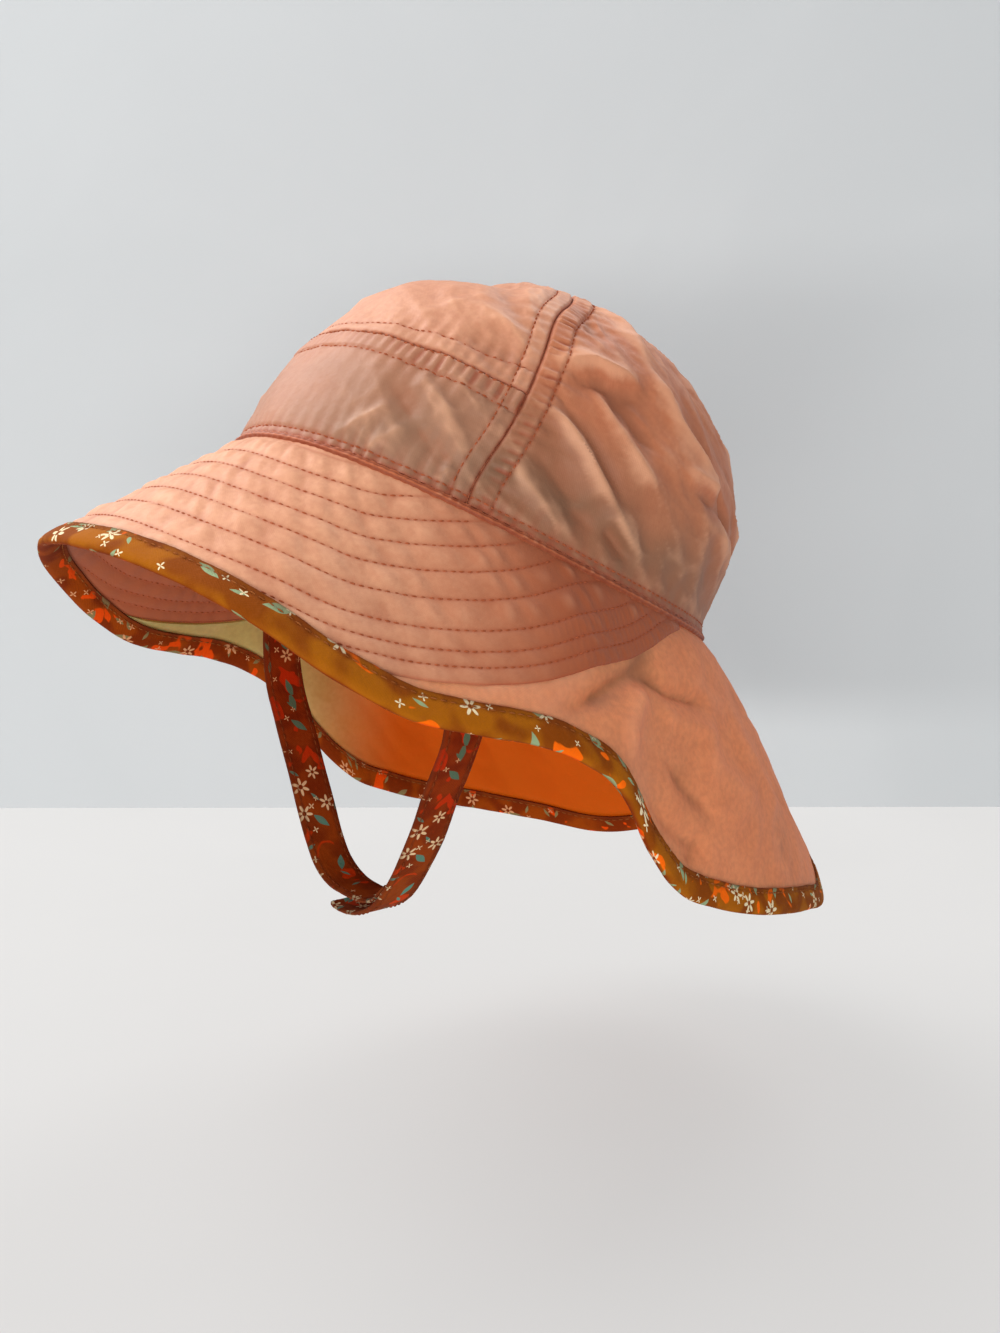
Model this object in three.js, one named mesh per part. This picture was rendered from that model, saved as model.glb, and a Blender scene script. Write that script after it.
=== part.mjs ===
// Child's sun hat with a quilted brim, a hanging neck flap and a fastened chin strap.
// Millimetres, +Z up, the front of the hat faces -Y, its left side is +X.
// The origin is the centre of the head opening. The hat leans back as it is worn.
import * as THREE from 'three';

// Head opening and lean
const OPENING_LENGTH = 170;
const OPENING_WIDTH = 140;
const LEAN_DEG = 25;
const SEAM_SAG = 8;

// Crown
const CROWN_HEIGHT = 90;
const CROWN_CLOTH = 1.4;
const CROWN_CLEAR = 1.9;
const PANEL_SEAM_DEG = 55;
const FRONT_SEAM_RISE = 0.41;
const FRONT_SEAM_ARCH = 0.04;
const APEX_RADIUS = 0.6;

// Brim, flap and their edge
const SKIRT_CLEAR = 1.1;
const BRIM_CLOTH = 2.2;
const GRID_DEG = 4.5;
const BRIM_TIP_DEG = GRID_DEG * 25;
const FLAP_CLOTH = 1.0;
const LINING_CLOTH = 1.0;
const FLAP_START_DEG = GRID_DEG * 8;
const EDGE_INSET = 1.6;
const SKIRT_BOW = 4;
const FLAP_FOLD_DEPTH = 1.4;

// Binding, rolled crown seam and strap
const BINDING_WIDTH = 8.5;
const BINDING_FOLD = 5;
const BINDING_CLOTH = 0.9;
const ROLL_RADIUS = 1.8;
const ROLL_INSET = 0.4;
const STRAP_WIDTH = 14;
const STRAP_CLOTH = 1.2;

// Clearance between neighbouring pieces
const GAP = 0.3;

// Crown profile: share of the height, reach to the front, reach to the back, width factor
const CROWN_ROWS = [
  [0.00, 85.0, 85.0, 0.824],
  [0.08, 84.2, 83.6, 0.832],
  [0.16, 82.8, 84.4, 0.840],
  [0.26, 80.4, 86.4, 0.850],
  [0.37, 77.0, 85.4, 0.860],
  [0.55, 69.0, 79.0, 0.858],
  [0.72, 59.0, 67.5, 0.854],
  [0.86, 40.5, 53.5, 0.848],
  [0.96, 21.0, 29.5, 0.842],
  [1.00, 7.0, 11.0, 0.840],
  [1.004, -1.4, 2.6, 0.840],
];

// Bound edge of brim and flap: angle from the front, radius from the Z axis, height
const EDGE_ROWS = [
  [0, 135.5, 12.6],
  [15, 134.2, 9.0],
  [30, 131.8, -4.0],
  [38, 126.5, -17.3],
  [46, 119.3, -28.6],
  [54, 112.2, -34.3],
  [62, 106.2, -38.6],
  [70, 101.6, -45.4],
  [78, 98.0, -56.3],
  [86, 94.3, -77.0],
  [94, 92.1, -90.6],
  [104, 92.1, -99.2],
  [116, 96.0, -106.8],
  [128, 103.5, -112.4],
  [140, 113.5, -117.8],
  [152, 125.0, -124.0],
  [165, 133.6, -120.5],
  [180, 135.9, -118.8],
];

// Quilted brim: angle from the front, width measured out from the crown seam
const BRIM_ROWS = [
  [0, 66.5],
  [30, 68.0],
  [37, 66.0],
  [43, 61.8],
  [50, 56.8],
  [57, 51.6],
  [64, 45.6],
  [71, 38.5],
  [75, 34.2],
  [82, 28.0],
  [89, 22.4],
  [97, 15.2],
  [103, 9.8],
  [112.5, 3.6],
  [120, 1.8],
  [180, 1.8],
];

// Left strap half: X, Y, Z of its centre line, turn of its width about Z
const STRAP_LEFT = [
  [60.8, -30.5, 12.0, 18],
  [60.2, -34.0, 3.0, 16],
  [58.4, -37.6, -9.0, 12],
  [56.4, -40.2, -21.0, 8],
  [54.2, -41.6, -33.0, 4],
  [51.4, -42.0, -45.0, 0],
  [46.0, -42.0, -55.0, 0],
  [40.0, -42.0, -65.0, 0],
  [35.0, -42.0, -74.0, 0],
  [29.6, -42.0, -83.0, 0],
  [24.0, -42.0, -91.0, 0],
  [18.0, -42.0, -98.0, 0],
  [12.0, -42.0, -104.0, 0],
  [5.0, -42.0, -108.0, 0],
  [-2.0, -42.0, -110.3, 0],
  [-9.0, -42.0, -111.0, 0],
  [-15.0, -42.0, -110.4, 0],
];

// Right strap half, laid inside the left one at the bottom: the same columns
const STRAP_RIGHT = [
  [-60.8, -30.5, 12.0, -18],
  [-60.2, -34.0, 3.0, -16],
  [-58.4, -37.6, -9.0, -12],
  [-56.4, -40.2, -21.0, -8],
  [-54.2, -41.6, -33.0, -4],
  [-51.4, -42.0, -45.0, 0],
  [-46.6, -42.0, -55.0, 0],
  [-41.6, -42.0, -65.0, 0],
  [-37.0, -42.0, -74.6, 0],
  [-32.2, -42.0, -84.4, 0],
  [-27.6, -42.0, -93.0, 0],
  [-23.6, -42.0, -98.6, 0],
  [-19.0, -42.0, -101.8, 0],
  [-13.6, -42.0, -103.6, 0],
  [-7.0, -42.0, -104.2, 0],
  [0.0, -42.0, -104.4, 0],
  [6.0, -42.0, -103.9, 0],
  [12.0, -42.0, -101.6, 0],
  [17.0, -42.0, -96.6, 0],
];

const rad = (deg) => (deg * Math.PI) / 180;
const vec = (x, y, z) => new THREE.Vector3(x, y, z);

// Smooth curve through one column of a table, by its first column.
// It runs level into both ends of the table, or straight on where ends are free.
function smooth(rows, column, at, free = false) {
  const n = rows.length;
  if (at <= rows[0][0]) return rows[0][column];
  if (at >= rows[n - 1][0]) return rows[n - 1][column];
  let k = 0;
  while (at > rows[k + 1][0]) k += 1;
  const step = (i) => (rows[i + 1][column] - rows[i][column]) / (rows[i + 1][0] - rows[i][0]);
  const slope = (i) => {
    if (i === 0) return free ? step(0) : 0;
    if (i === n - 1) return free ? step(n - 2) : 0;
    const a = rows[i][0] - rows[i - 1][0];
    const b = rows[i + 1][0] - rows[i][0];
    return (step(i - 1) * b + step(i) * a) / (a + b);
  };
  const h = rows[k + 1][0] - rows[k][0];
  const t = (at - rows[k][0]) / h;
  const t2 = t * t;
  const t3 = t2 * t;
  return (2 * t3 - 3 * t2 + 1) * rows[k][column]
    + (t3 - 2 * t2 + t) * h * slope(k)
    + (3 * t2 - 2 * t3) * rows[k + 1][column]
    + (t3 - t2) * h * slope(k + 1);
}

// Angle from the front folded to 0 to 180, for tables shared by both sides
function side(deg) {
  const a = ((deg % 360) + 360) % 360;
  return a > 180 ? 360 - a : a;
}

// From the hat's own upright frame to the leaning one
function lean(x, y, z) {
  const c = Math.cos(rad(LEAN_DEG));
  const s = Math.sin(rad(LEAN_DEG));
  return vec(x, y * c + z * s, -y * s + z * c);
}

function seamHeight(deg) {
  const s = Math.sin(rad(deg));
  return SEAM_SAG * (0.5 - s * s);
}

function seamPoint(deg) {
  const x = (OPENING_WIDTH / 2) * Math.sin(rad(deg));
  const y = (-OPENING_LENGTH / 2) * Math.cos(rad(deg));
  return lean(x, y, seamHeight(deg));
}

// Crown profile stations, spaced by length along the side of the crown
function crownStations() {
  const rows = [];
  let along = 0;
  CROWN_ROWS.forEach((row, i) => {
    if (i > 0) {
      const last = CROWN_ROWS[i - 1];
      const reach = (row[1] + row[2] - last[1] - last[2]) / 2;
      const rise = (row[0] - last[0]) * CROWN_HEIGHT;
      along += Math.hypot(reach, rise);
    }
    rows.push([along, row[0], row[1], row[2], row[3]]);
  });
  return rows;
}

const CROWN_TABLE = crownStations();
const CROWN_SIDE = CROWN_TABLE[CROWN_TABLE.length - 1][0];

// Soft creases and lumps in the worn crown
function crownCrease(deg, share) {
  const a = side(deg);
  const fade = Math.sin(Math.PI * Math.min(1, Math.max(0, share * 1.04)));
  const diagonal = 0.9 * Math.sin(rad(a * 7 + share * 420 + (deg > 180 ? 70 : 0)));
  const behind = Math.min(1, Math.max(0, (a - 60) / 25));
  const lumps = 0.5 * Math.sin(rad(a * 4 + 30)) * Math.sin(rad(share * 540));
  return fade * (diagonal * behind + lumps);
}

function crownPoint(deg, along) {
  const rise = smooth(CROWN_TABLE, 1, along, true);
  const front = smooth(CROWN_TABLE, 2, along, true);
  const back = smooth(CROWN_TABLE, 3, along, true);
  const half = (front + back) / 2;
  const wide = half * smooth(CROWN_TABLE, 4, along, true);
  const out = 1 + crownCrease(deg, along / CROWN_SIDE) / Math.max(half, 12);
  const x = wide * Math.sin(rad(deg)) * out;
  const y = (back - front) / 2 - half * Math.cos(rad(deg)) * out;
  const foot = seamHeight(deg) * Math.max(0, 1 - rise);
  return lean(x, y, CROWN_HEIGHT * rise + foot);
}

function edgePoint(deg) {
  const a = side(deg);
  const radius = smooth(EDGE_ROWS, 1, a);
  const height = smooth(EDGE_ROWS, 2, a);
  return vec(radius * Math.sin(rad(deg)), -radius * Math.cos(rad(deg)), height);
}

function skirtWidth(deg) {
  return seamPoint(deg).distanceTo(edgePoint(deg));
}

function brimWidth(deg) {
  return Math.min(smooth(BRIM_ROWS, 1, side(deg)), skirtWidth(deg) - EDGE_INSET);
}

// Brim and flap share one skirt surface: out is the distance from the crown seam
function skirtPoint(deg, out) {
  const a = side(deg);
  const from = seamPoint(deg);
  const to = edgePoint(deg);
  const t = out / from.distanceTo(to);
  const p = from.clone().lerp(to, t);
  const away = vec(Math.sin(rad(deg)), -Math.cos(rad(deg)), 0.4).normalize();
  const bow = SKIRT_BOW * Math.min(1, Math.max(0, (a - 45) / 30)) * 4 * t * (1 - t) * (1.3 - 0.6 * t);
  const loose = Math.max(0, (a - 62) / 118);
  const fold = FLAP_FOLD_DEPTH * Math.sin(rad(a * 6.5 + 40)) * t * t * Math.min(1, loose * 3);
  return p.addScaledVector(away, bow + fold);
}

// Surface point moved along the outward normal
function offset(surface, deg, along, lift) {
  const e = 0.25;
  const du = surface(deg + e, along).sub(surface(deg - e, along));
  const dv = surface(deg, along + e).sub(surface(deg, along - e));
  const n = dv.cross(du).normalize();
  const p = surface(deg, along);
  const reach = vec(Math.sin(rad(deg)), -Math.cos(rad(deg)), 0.6);
  if (n.dot(reach) < 0) n.negate();
  return p.addScaledVector(n, lift);
}

function mesh(name, points, faces, colour) {
  const geometry = new THREE.BufferGeometry();
  const flat = new Float32Array(points.length * 3);
  points.forEach((p, i) => p.toArray(flat, i * 3));
  geometry.setAttribute('position', new THREE.BufferAttribute(flat, 3));
  let volume = 0;
  faces.forEach(([a, b, c]) => {
    volume += points[a].dot(points[b].clone().cross(points[c]));
  });
  const turned = volume < 0 ? faces.map(([a, b, c]) => [a, c, b]) : faces;
  geometry.setIndex(turned.flat());
  geometry.computeVertexNormals();
  const material = new THREE.MeshStandardMaterial({ color: colour, roughness: 0.9, metalness: 0 });
  const body = new THREE.Mesh(geometry, material);
  body.name = name;
  return body;
}

// A stack of closed sections joined into one solid, as an open run or a ring
function loft(name, sections, ring, colour) {
  const n = sections[0].length;
  const m = sections.length;
  const points = sections.flat();
  const faces = [];
  const runs = ring ? m : m - 1;
  for (let i = 0; i < runs; i += 1) {
    const next = ((i + 1) % m) * n;
    for (let j = 0; j < n; j += 1) {
      const k = (j + 1) % n;
      const [a, b, c, d] = [i * n + j, i * n + k, next + k, next + j];
      if (points[a].distanceTo(points[c]) <= points[b].distanceTo(points[d])) {
        faces.push([a, b, c]);
        faces.push([a, c, d]);
      } else {
        faces.push([a, b, d]);
        faces.push([b, c, d]);
      }
    }
  }
  if (!ring) {
    // A section runs out along one face and back along the other, so its cap is a ladder
    const half = n / 2;
    const last = (m - 1) * n;
    for (let j = 0; j < half - 1; j += 1) {
      const a = j;
      const b = j + 1;
      const c = n - 2 - j;
      const d = n - 1 - j;
      faces.push([a, c, b]);
      faces.push([a, d, c]);
      faces.push([last + a, last + b, last + c]);
      faces.push([last + a, last + c, last + d]);
    }
  }
  return mesh(name, points, faces, colour);
}

// Distances across the skirt at one angle, set closer where the binding grips the cloth
function across(deg, near, far, steps) {
  const grip = skirtWidth(deg) - BINDING_WIDTH;
  if (near < grip - 2 && far > grip + BINDING_FOLD) {
    return span(near, grip, steps - 2).concat([grip + BINDING_FOLD, far]);
  }
  return span(near, far, steps);
}

// One layer of skirt cloth, from near to far at each angle
function layer(name, degs, near, far, steps, top, cloth, colour) {
  const sections = degs.map((deg) => {
    const alongs = across(deg, near(deg), far(deg), steps);
    const outer = alongs.map((along) => offset(skirtPoint, deg, along, top));
    const inner = alongs.map((along) => offset(skirtPoint, deg, along, top - cloth));
    return outer.concat(inner.reverse());
  });
  return loft(name, sections, false, colour);
}

function span(from, to, steps) {
  return Array.from({ length: steps + 1 }, (_, i) => from + ((to - from) * i) / steps);
}

// Crown panel between two seams; its sides stay half a gap from each seam
function panel(name, from, to, steps, near, far, rows, colour) {
  const middle = (from + to) / 2;
  const reach = (to - from) / 2;
  const sections = span(-1, 1, steps).map((share) => {
    const outer = [];
    const inner = [];
    for (let i = 0; i <= rows; i += 1) {
      const flat = middle + reach * share;
      const a = near(flat);
      const b = far(flat);
      const along = a + ((b - a) * i) / rows;
      const radius = Math.max(APEX_RADIUS, crownReach(along));
      const trim = (Math.asin(Math.min(0.9, (GAP * 0.62) / radius)) * 180) / Math.PI;
      const deg = middle + (reach - trim) * share;
      outer.push(offset(crownPoint, deg, along, 0));
      inner.push(offset(crownPoint, deg, along, -CROWN_CLOTH));
    }
    return outer.concat(inner.reverse());
  });
  return loft(name, sections, false, colour);
}

function crownReach(along) {
  const front = smooth(CROWN_TABLE, 2, along, true);
  const back = smooth(CROWN_TABLE, 3, along, true);
  return ((front + back) / 2) * smooth(CROWN_TABLE, 4, along, true);
}

function frontSeam(deg) {
  const share = Math.cos(rad((side(deg) / PANEL_SEAM_DEG) * 90));
  const rise = FRONT_SEAM_RISE + FRONT_SEAM_ARCH * share;
  let lo = 0;
  let hi = CROWN_SIDE;
  for (let i = 0; i < 40; i += 1) {
    const mid = (lo + hi) / 2;
    if (smooth(CROWN_TABLE, 1, mid, true) < rise) lo = mid;
    else hi = mid;
  }
  return lo;
}

// Binding folded over the edge, round the whole hat
function binding(name, steps, colour) {
  const sections = span(0, 360, steps).slice(0, -1).map((deg) => {
    const t = skirtWidth(deg);
    const near = t - BINDING_WIDTH;
    const fold = near + BINDING_FOLD;
    const up = GAP;
    const down = -(FLAP_CLOTH + GAP + LINING_CLOTH + GAP);
    const thick = BINDING_CLOTH;
    const outline = [
      [near, up + thick],
      [fold, up + thick],
      [t, 0],
      [t, down + 0.4],
      [fold, down - thick],
      [near, down - thick],
      [near, down],
      [fold, down],
      [t - 1.1, down],
      [t - 1.1, up - 0.1],
      [fold, up],
      [near, up],
    ];
    return outline.map(([along, lift]) => offset(skirtPoint, deg, along, lift));
  });
  return loft(name, sections, true, colour);
}

// Rolled seam allowance that stands up where crown and skirt meet
function rolledSeam(name, steps, colour) {
  const sections = span(0, 360, steps).slice(0, -1).map((deg) => {
    const p = seamPoint(deg);
    const out = vec(Math.sin(rad(deg)), -Math.cos(rad(deg)), 0);
    const up = lean(0, 0, 1);
    out.addScaledVector(up, -out.dot(up)).normalize();
    const centre = p.addScaledVector(out, -ROLL_INSET);
    return Array.from({ length: 6 }, (_, k) => {
      const a = rad(45 * k + 22.5);
      return centre.clone()
        .addScaledVector(out, ROLL_RADIUS * Math.cos(a))
        .addScaledVector(up, ROLL_RADIUS * 0.8 * Math.sin(a));
    });
  });
  return loft(name, sections, true, colour);
}

// Flat strap along a table of centre points
function strap(name, rows, colour) {
  const points = rows.map(([x, y, z]) => vec(x, y, z));
  const sections = rows.map((row, i) => {
    const before = points[Math.max(0, i - 1)];
    const after = points[Math.min(points.length - 1, i + 1)];
    const run = after.clone().sub(before).normalize();
    const wide = vec(Math.sin(rad(row[3])), Math.cos(rad(row[3])), 0);
    wide.addScaledVector(run, -wide.dot(run)).normalize();
    const face = run.clone().cross(wide).normalize();
    const corner = (w, f) => points[i].clone()
      .addScaledVector(wide, (w * STRAP_WIDTH) / 2)
      .addScaledVector(face, (f * STRAP_CLOTH) / 2);
    return [corner(-1, 1), corner(0, 1), corner(1, 1), corner(1, -1), corner(0, -1), corner(-1, -1)];
  });
  return loft(name, sections, false, colour);
}

const SALMON = 0xe0a184;
const SALMON_FRONT = 0xd29a7e;
const SALMON_SIDE = 0xcf9478;
const KHAKI = 0xb9ad6c;
const PRINT = 0xb5622b;
const PRINT_STRAP = 0x8f3a1c;

const foot = () => CROWN_CLEAR;
const top = () => CROWN_SIDE - APEX_RADIUS;
const brimFoot = () => SKIRT_CLEAR;
const flapFoot = (deg) => Math.max(SKIRT_CLEAR, brimWidth(deg) + GAP);
const flapEdge = (deg) => skirtWidth(deg) - EDGE_INSET;

const brimDegs = span(-BRIM_TIP_DEG, BRIM_TIP_DEG, 50);
const flapDegs = span(FLAP_START_DEG, 360 - FLAP_START_DEG, 64);
const seamDegs = [PANEL_SEAM_DEG, 180, 360 - PANEL_SEAM_DEG];

const group = new THREE.Group();
group.name = 'sun_hat';
group.add(
  panel('crown_front_lower', -PANEL_SEAM_DEG, PANEL_SEAM_DEG, 24, foot,
    (deg) => frontSeam(deg) - GAP / 2, 5, SALMON_FRONT),
  panel('crown_front_upper', -PANEL_SEAM_DEG, PANEL_SEAM_DEG, 24,
    (deg) => frontSeam(deg) + GAP / 2, top, 9, SALMON),
  panel('crown_side_left', seamDegs[0], seamDegs[1], 24, foot, top, 11, SALMON_SIDE),
  panel('crown_side_right', seamDegs[1], seamDegs[2], 24, foot, top, 11, SALMON_SIDE),
  rolledSeam('crown_rolled_seam', 64, SALMON_SIDE),
  layer('brim_quilted', brimDegs, brimFoot, brimWidth, 6, 0, BRIM_CLOTH, SALMON),
  layer('neck_flap', flapDegs, flapFoot, flapEdge, 6, 0, FLAP_CLOTH, SALMON),
  layer('flap_lining', flapDegs, flapFoot, flapEdge, 6, -FLAP_CLOTH - GAP,
    LINING_CLOTH, KHAKI),
  binding('edge_binding', 80, PRINT),
  strap('chin_strap_left', STRAP_LEFT, PRINT_STRAP),
  strap('chin_strap_right', STRAP_RIGHT, PRINT_STRAP),
);

export default group;
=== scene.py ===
import math

import bpy
import numpy as np
from mathutils import Matrix, Vector


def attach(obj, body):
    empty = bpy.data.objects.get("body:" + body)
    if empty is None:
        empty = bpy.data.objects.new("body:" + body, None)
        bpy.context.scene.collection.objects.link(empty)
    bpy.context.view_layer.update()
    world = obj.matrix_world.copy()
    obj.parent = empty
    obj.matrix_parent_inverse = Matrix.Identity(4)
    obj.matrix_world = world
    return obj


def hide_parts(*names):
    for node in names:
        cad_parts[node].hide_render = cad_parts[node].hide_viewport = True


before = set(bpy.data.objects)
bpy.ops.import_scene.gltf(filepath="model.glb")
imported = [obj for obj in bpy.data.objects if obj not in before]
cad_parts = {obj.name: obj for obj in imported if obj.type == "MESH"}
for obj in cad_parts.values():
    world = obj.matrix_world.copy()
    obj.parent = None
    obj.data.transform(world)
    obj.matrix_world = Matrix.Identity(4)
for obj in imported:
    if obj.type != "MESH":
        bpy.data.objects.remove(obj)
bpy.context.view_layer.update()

# Child's sun hat with a quilted brim, a hanging neck flap and a fastened chin strap.
# Measures are in millimetres and degrees from the front of the hat, made metres as a piece is laid.
MM = 0.001

# Head opening and lean
OPENING_LENGTH = 170.0
OPENING_WIDTH = 140.0
LEAN = math.radians(25)
SEAM_SAG = 8.0

# Crown
CROWN_HEIGHT = 90.0
CROWN_CLOTH = 1.4
CROWN_CLEAR = 1.9
PANEL_SEAM_DEG = 55.0
FRONT_SEAM_RISE = 0.41
FRONT_SEAM_ARCH = 0.04

# Brim, flap, lining and binding
SKIRT_CLEAR = 1.1
BRIM_CLOTH = 2.2
BRIM_TIP_DEG = 112.5
FLAP_CLOTH = 1.0
LINING_CLOTH = 1.0
LINING_GAP = 0.3
FLAP_START_DEG = 36.0
EDGE_INSET = 1.6
SKIRT_BOW = 4.0
FLAP_FOLD_DEPTH = 1.4
BINDING_WIDTH = 8.5
STRAP_WIDTH = 14.0
STRAP_PLANE = -42.0

# Even radii on which the cloth maps and the gathers are laid out
CROWN_ROUND = 76.0
WELT_ROUND = 77.0
FLAP_ROUND = 100.0
SKIRT_ROUND = 108.0
BINDING_ROUND = 112.0

# Stitch lines, measured from their seam or edge, and the pitch of their stitches
SIDE_STITCH = 6.2
FRONT_STITCH = 4.7
CROSS_STITCH = 7.1
CROSS_EDGE_STITCH = 0.9
FOOT_STITCH = 1.6
TAPE_STITCH = 1.5
STRAP_STITCH = 1.6
CLOTH_PITCH = 2.35
TAPE_PITCH = 2.7

# Length and thickness of a stitch
CLOTH_GRAIN = (1.75, 0.48)
TAPE_GRAIN = (2.0, 0.45)

# Folds at least this wide get no painted highlight or painted shade line
WIDE_FOLD = 8

# Crown profile: share of the height, reach to the front, reach to the back, width factor
CROWN_ROWS = [
    (0.00, 85.0, 85.0, 0.824), (0.08, 84.2, 83.6, 0.832), (0.16, 82.8, 84.4, 0.840),
    (0.26, 80.4, 86.4, 0.850), (0.37, 77.0, 85.4, 0.860), (0.55, 69.0, 79.0, 0.858),
    (0.72, 59.0, 67.5, 0.854), (0.86, 40.5, 53.5, 0.848), (0.96, 21.0, 29.5, 0.842),
    (1.00, 7.0, 11.0, 0.840), (1.004, -1.4, 2.6, 0.840),
]

# Bound edge of brim and flap: angle, radius from the Z axis, height
EDGE_ROWS = [
    (0, 135.5, 12.6), (15, 134.2, 9.0), (30, 131.8, -4.0), (38, 126.5, -17.3),
    (46, 119.3, -28.6), (54, 112.2, -34.3), (62, 106.2, -38.6), (70, 101.6, -45.4),
    (78, 98.0, -56.3), (86, 94.3, -77.0), (94, 92.1, -90.6), (104, 92.1, -99.2),
    (116, 96.0, -106.8), (128, 103.5, -112.4), (140, 113.5, -117.8), (152, 125.0, -124.0),
    (165, 133.6, -120.5), (180, 135.9, -118.8),
]

# Quilted brim: angle, width measured out from the crown seam
BRIM_ROWS = [
    (0, 66.5), (30, 68.0), (37, 66.0), (43, 61.8), (50, 56.8), (57, 51.6), (64, 45.6),
    (71, 38.5), (75, 34.2), (82, 28.0), (89, 22.4), (97, 15.2), (103, 9.8), (112.5, 3.6),
    (120, 1.8), (180, 1.8),
]

# Quilting rows, measured in from the outer edge of the brim
QUILT_ROWS = [0.0, 5.0, 9.5, 15.5, 24.5, 33.0, 41.0, 49.0, 57.0, 66.0, 75.0]

# Left strap half from its root down: X, Y, Z of its centre line, turn of its width about Z
STRAP_ROOT = [
    (60.8, -30.5, 12.0, 18), (60.2, -34.0, 3.0, 16), (58.4, -37.6, -9.0, 12),
    (56.4, -40.2, -21.0, 8), (54.2, -41.6, -33.0, 4), (51.4, STRAP_PLANE, -45.0, 0),
]

# The loop below it, in the strap's plane: X and Z; the right half lies inside the left one
LEFT_LOOP = [
    (46.0, -55.0), (40.0, -65.0), (35.0, -74.0), (29.6, -83.0), (24.0, -91.0), (18.0, -98.0),
    (12.0, -104.0), (5.0, -108.0), (-2.0, -110.3), (-9.0, -111.0), (-15.0, -110.4),
]
RIGHT_LOOP = [
    (-46.6, -55.0), (-41.6, -65.0), (-37.0, -74.6), (-32.2, -84.4), (-27.6, -93.0), (-23.6, -98.6),
    (-19.0, -101.8), (-13.6, -103.6), (-7.0, -104.2), (0.0, -104.4), (6.0, -103.9), (12.0, -101.6),
    (17.0, -96.6),
]
STRAP_LEFT = STRAP_ROOT + [(x, STRAP_PLANE, z, 0) for x, z in LEFT_LOOP]
STRAP_RIGHT = ([(-x, y, z, -turn) for x, y, z, turn in STRAP_ROOT]
               + [(x, STRAP_PLANE, z, 0) for x, z in RIGHT_LOOP])

# Folds of the worn crown: lift, half width, then its path as angle and height along the side
CROWN_FOLDS = [
    (2.3, 3.0, (55.5, 51.5), (61, 55.5), (67, 58.5), (76, 60), (84, 58.5)),
    (-1.6, 4.6, (60, 46), (66, 50), (72, 53), (86, 55.5)),
    (1.5, 2.3, (65, 53), (70, 47), (75, 41), (84, 33), (95, 25.5)),
    (-1.6, 4.8, (72, 53), (80, 46.5), (89, 39)),
    (2.2, 2.1, (56.5, 39), (60, 37), (64, 35), (70, 29), (80, 20.5), (87, 14.5), (97, 7)),
    (-1.8, 2.6, (57.5, 43.5), (62, 41), (66, 38), (72, 33), (79, 26), (89, 17)),
    (-1.1, 1.5, (82, 13.5), (93, 8)),
    (1.6, 2.6, (56.5, 19.5), (62, 15), (69.5, 10), (78, 3)),
    (-1.5, 4.2, (59, 25), (68, 19), (75, 14), (87, 8)),
    (1.7, 3.0, (83, 73), (85, 68), (90, 61), (93, 55), (98, 51), (107, 45), (118, 42)),
    (-1.1, 4.8, (94, 62), (105, 55), (117, 50)),
    (1.3, 2.5, (95, 41.5), (106, 41), (113, 42)),
    (-1.4, 2.8, (97, 36.5), (112, 36), (125, 34.5)),
    (-2.2, 1.7, (109, 45), (118, 38), (127, 31)),
    (1.3, 3.6, (104, 30), (118, 28.5), (132, 23)),
    (1.5, 3.8, (62, 103), (67, 99), (78, 88), (83, 75), (86, 65)),
    (-1.0, 5.0, (60, 90), (66, 78), (72, 68)),
    (0.6, 3.5, (20, 48), (26, 57), (30, 63), (37, 75)),
    (0.8, 2.8, (28, 62), (40, 61), (46, 57.5), (54, 55)),
    (-0.9, 4.5, (35, 49), (51, 50)),
    (-3.5, 9.0, (-24, 98), (4, 96), (24, 91), (42, 85)),
    (0.9, 3.2, (43, 92), (48, 72)),
    (1.1, 2.6, (29, 32), (36, 28), (42, 23), (48, 18), (54, 11)),
    (-1.0, 3.6, (26, 27), (38, 17), (49, 7)),
    (0.8, 1.8, (23, 3), (28, 12), (33, 21)), (0.7, 1.7, (32, 2), (37, 15)),
    (1.0, 2.2, (46.5, 2), (51, 10)),
    (0.9, 4.5, (-10, 58), (-30, 78)), (0.9, 3.2, (-20, 17), (-42, 29)), (-0.9, 4.0, (-34, 11), (-51, 23)),
    (1.9, 3.2, (-57, 44), (-66, 51), (-76, 55), (-88, 62)), (1.6, 2.6, (-60, 41), (-74, 33), (-94, 20)),
    (1.4, 2.8, (-58, 27), (-70, 17), (-86, 8)), (-1.5, 4.4, (-66, 47), (-80, 40), (-98, 35)),
    (1.6, 3.6, (-92, 66), (-102, 54), (-120, 43)), (1.5, 3.2, (-102, 36), (-116, 27), (-130, 21)),
    (-1.8, 2.6, (-108, 48), (-120, 42), (-132, 34)), (1.7, 4.2, (136, 74), (146, 62), (164, 46)),
    (1.5, 3.4, (142, 46), (152, 34), (170, 25)), (-1.4, 3.6, (132, 37), (144, 24), (154, 16)),
    (1.6, 4.0, (-136, 70), (-150, 57), (-166, 49)), (1.4, 3.4, (-140, 42), (-152, 32), (-170, 21)),
]

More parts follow.
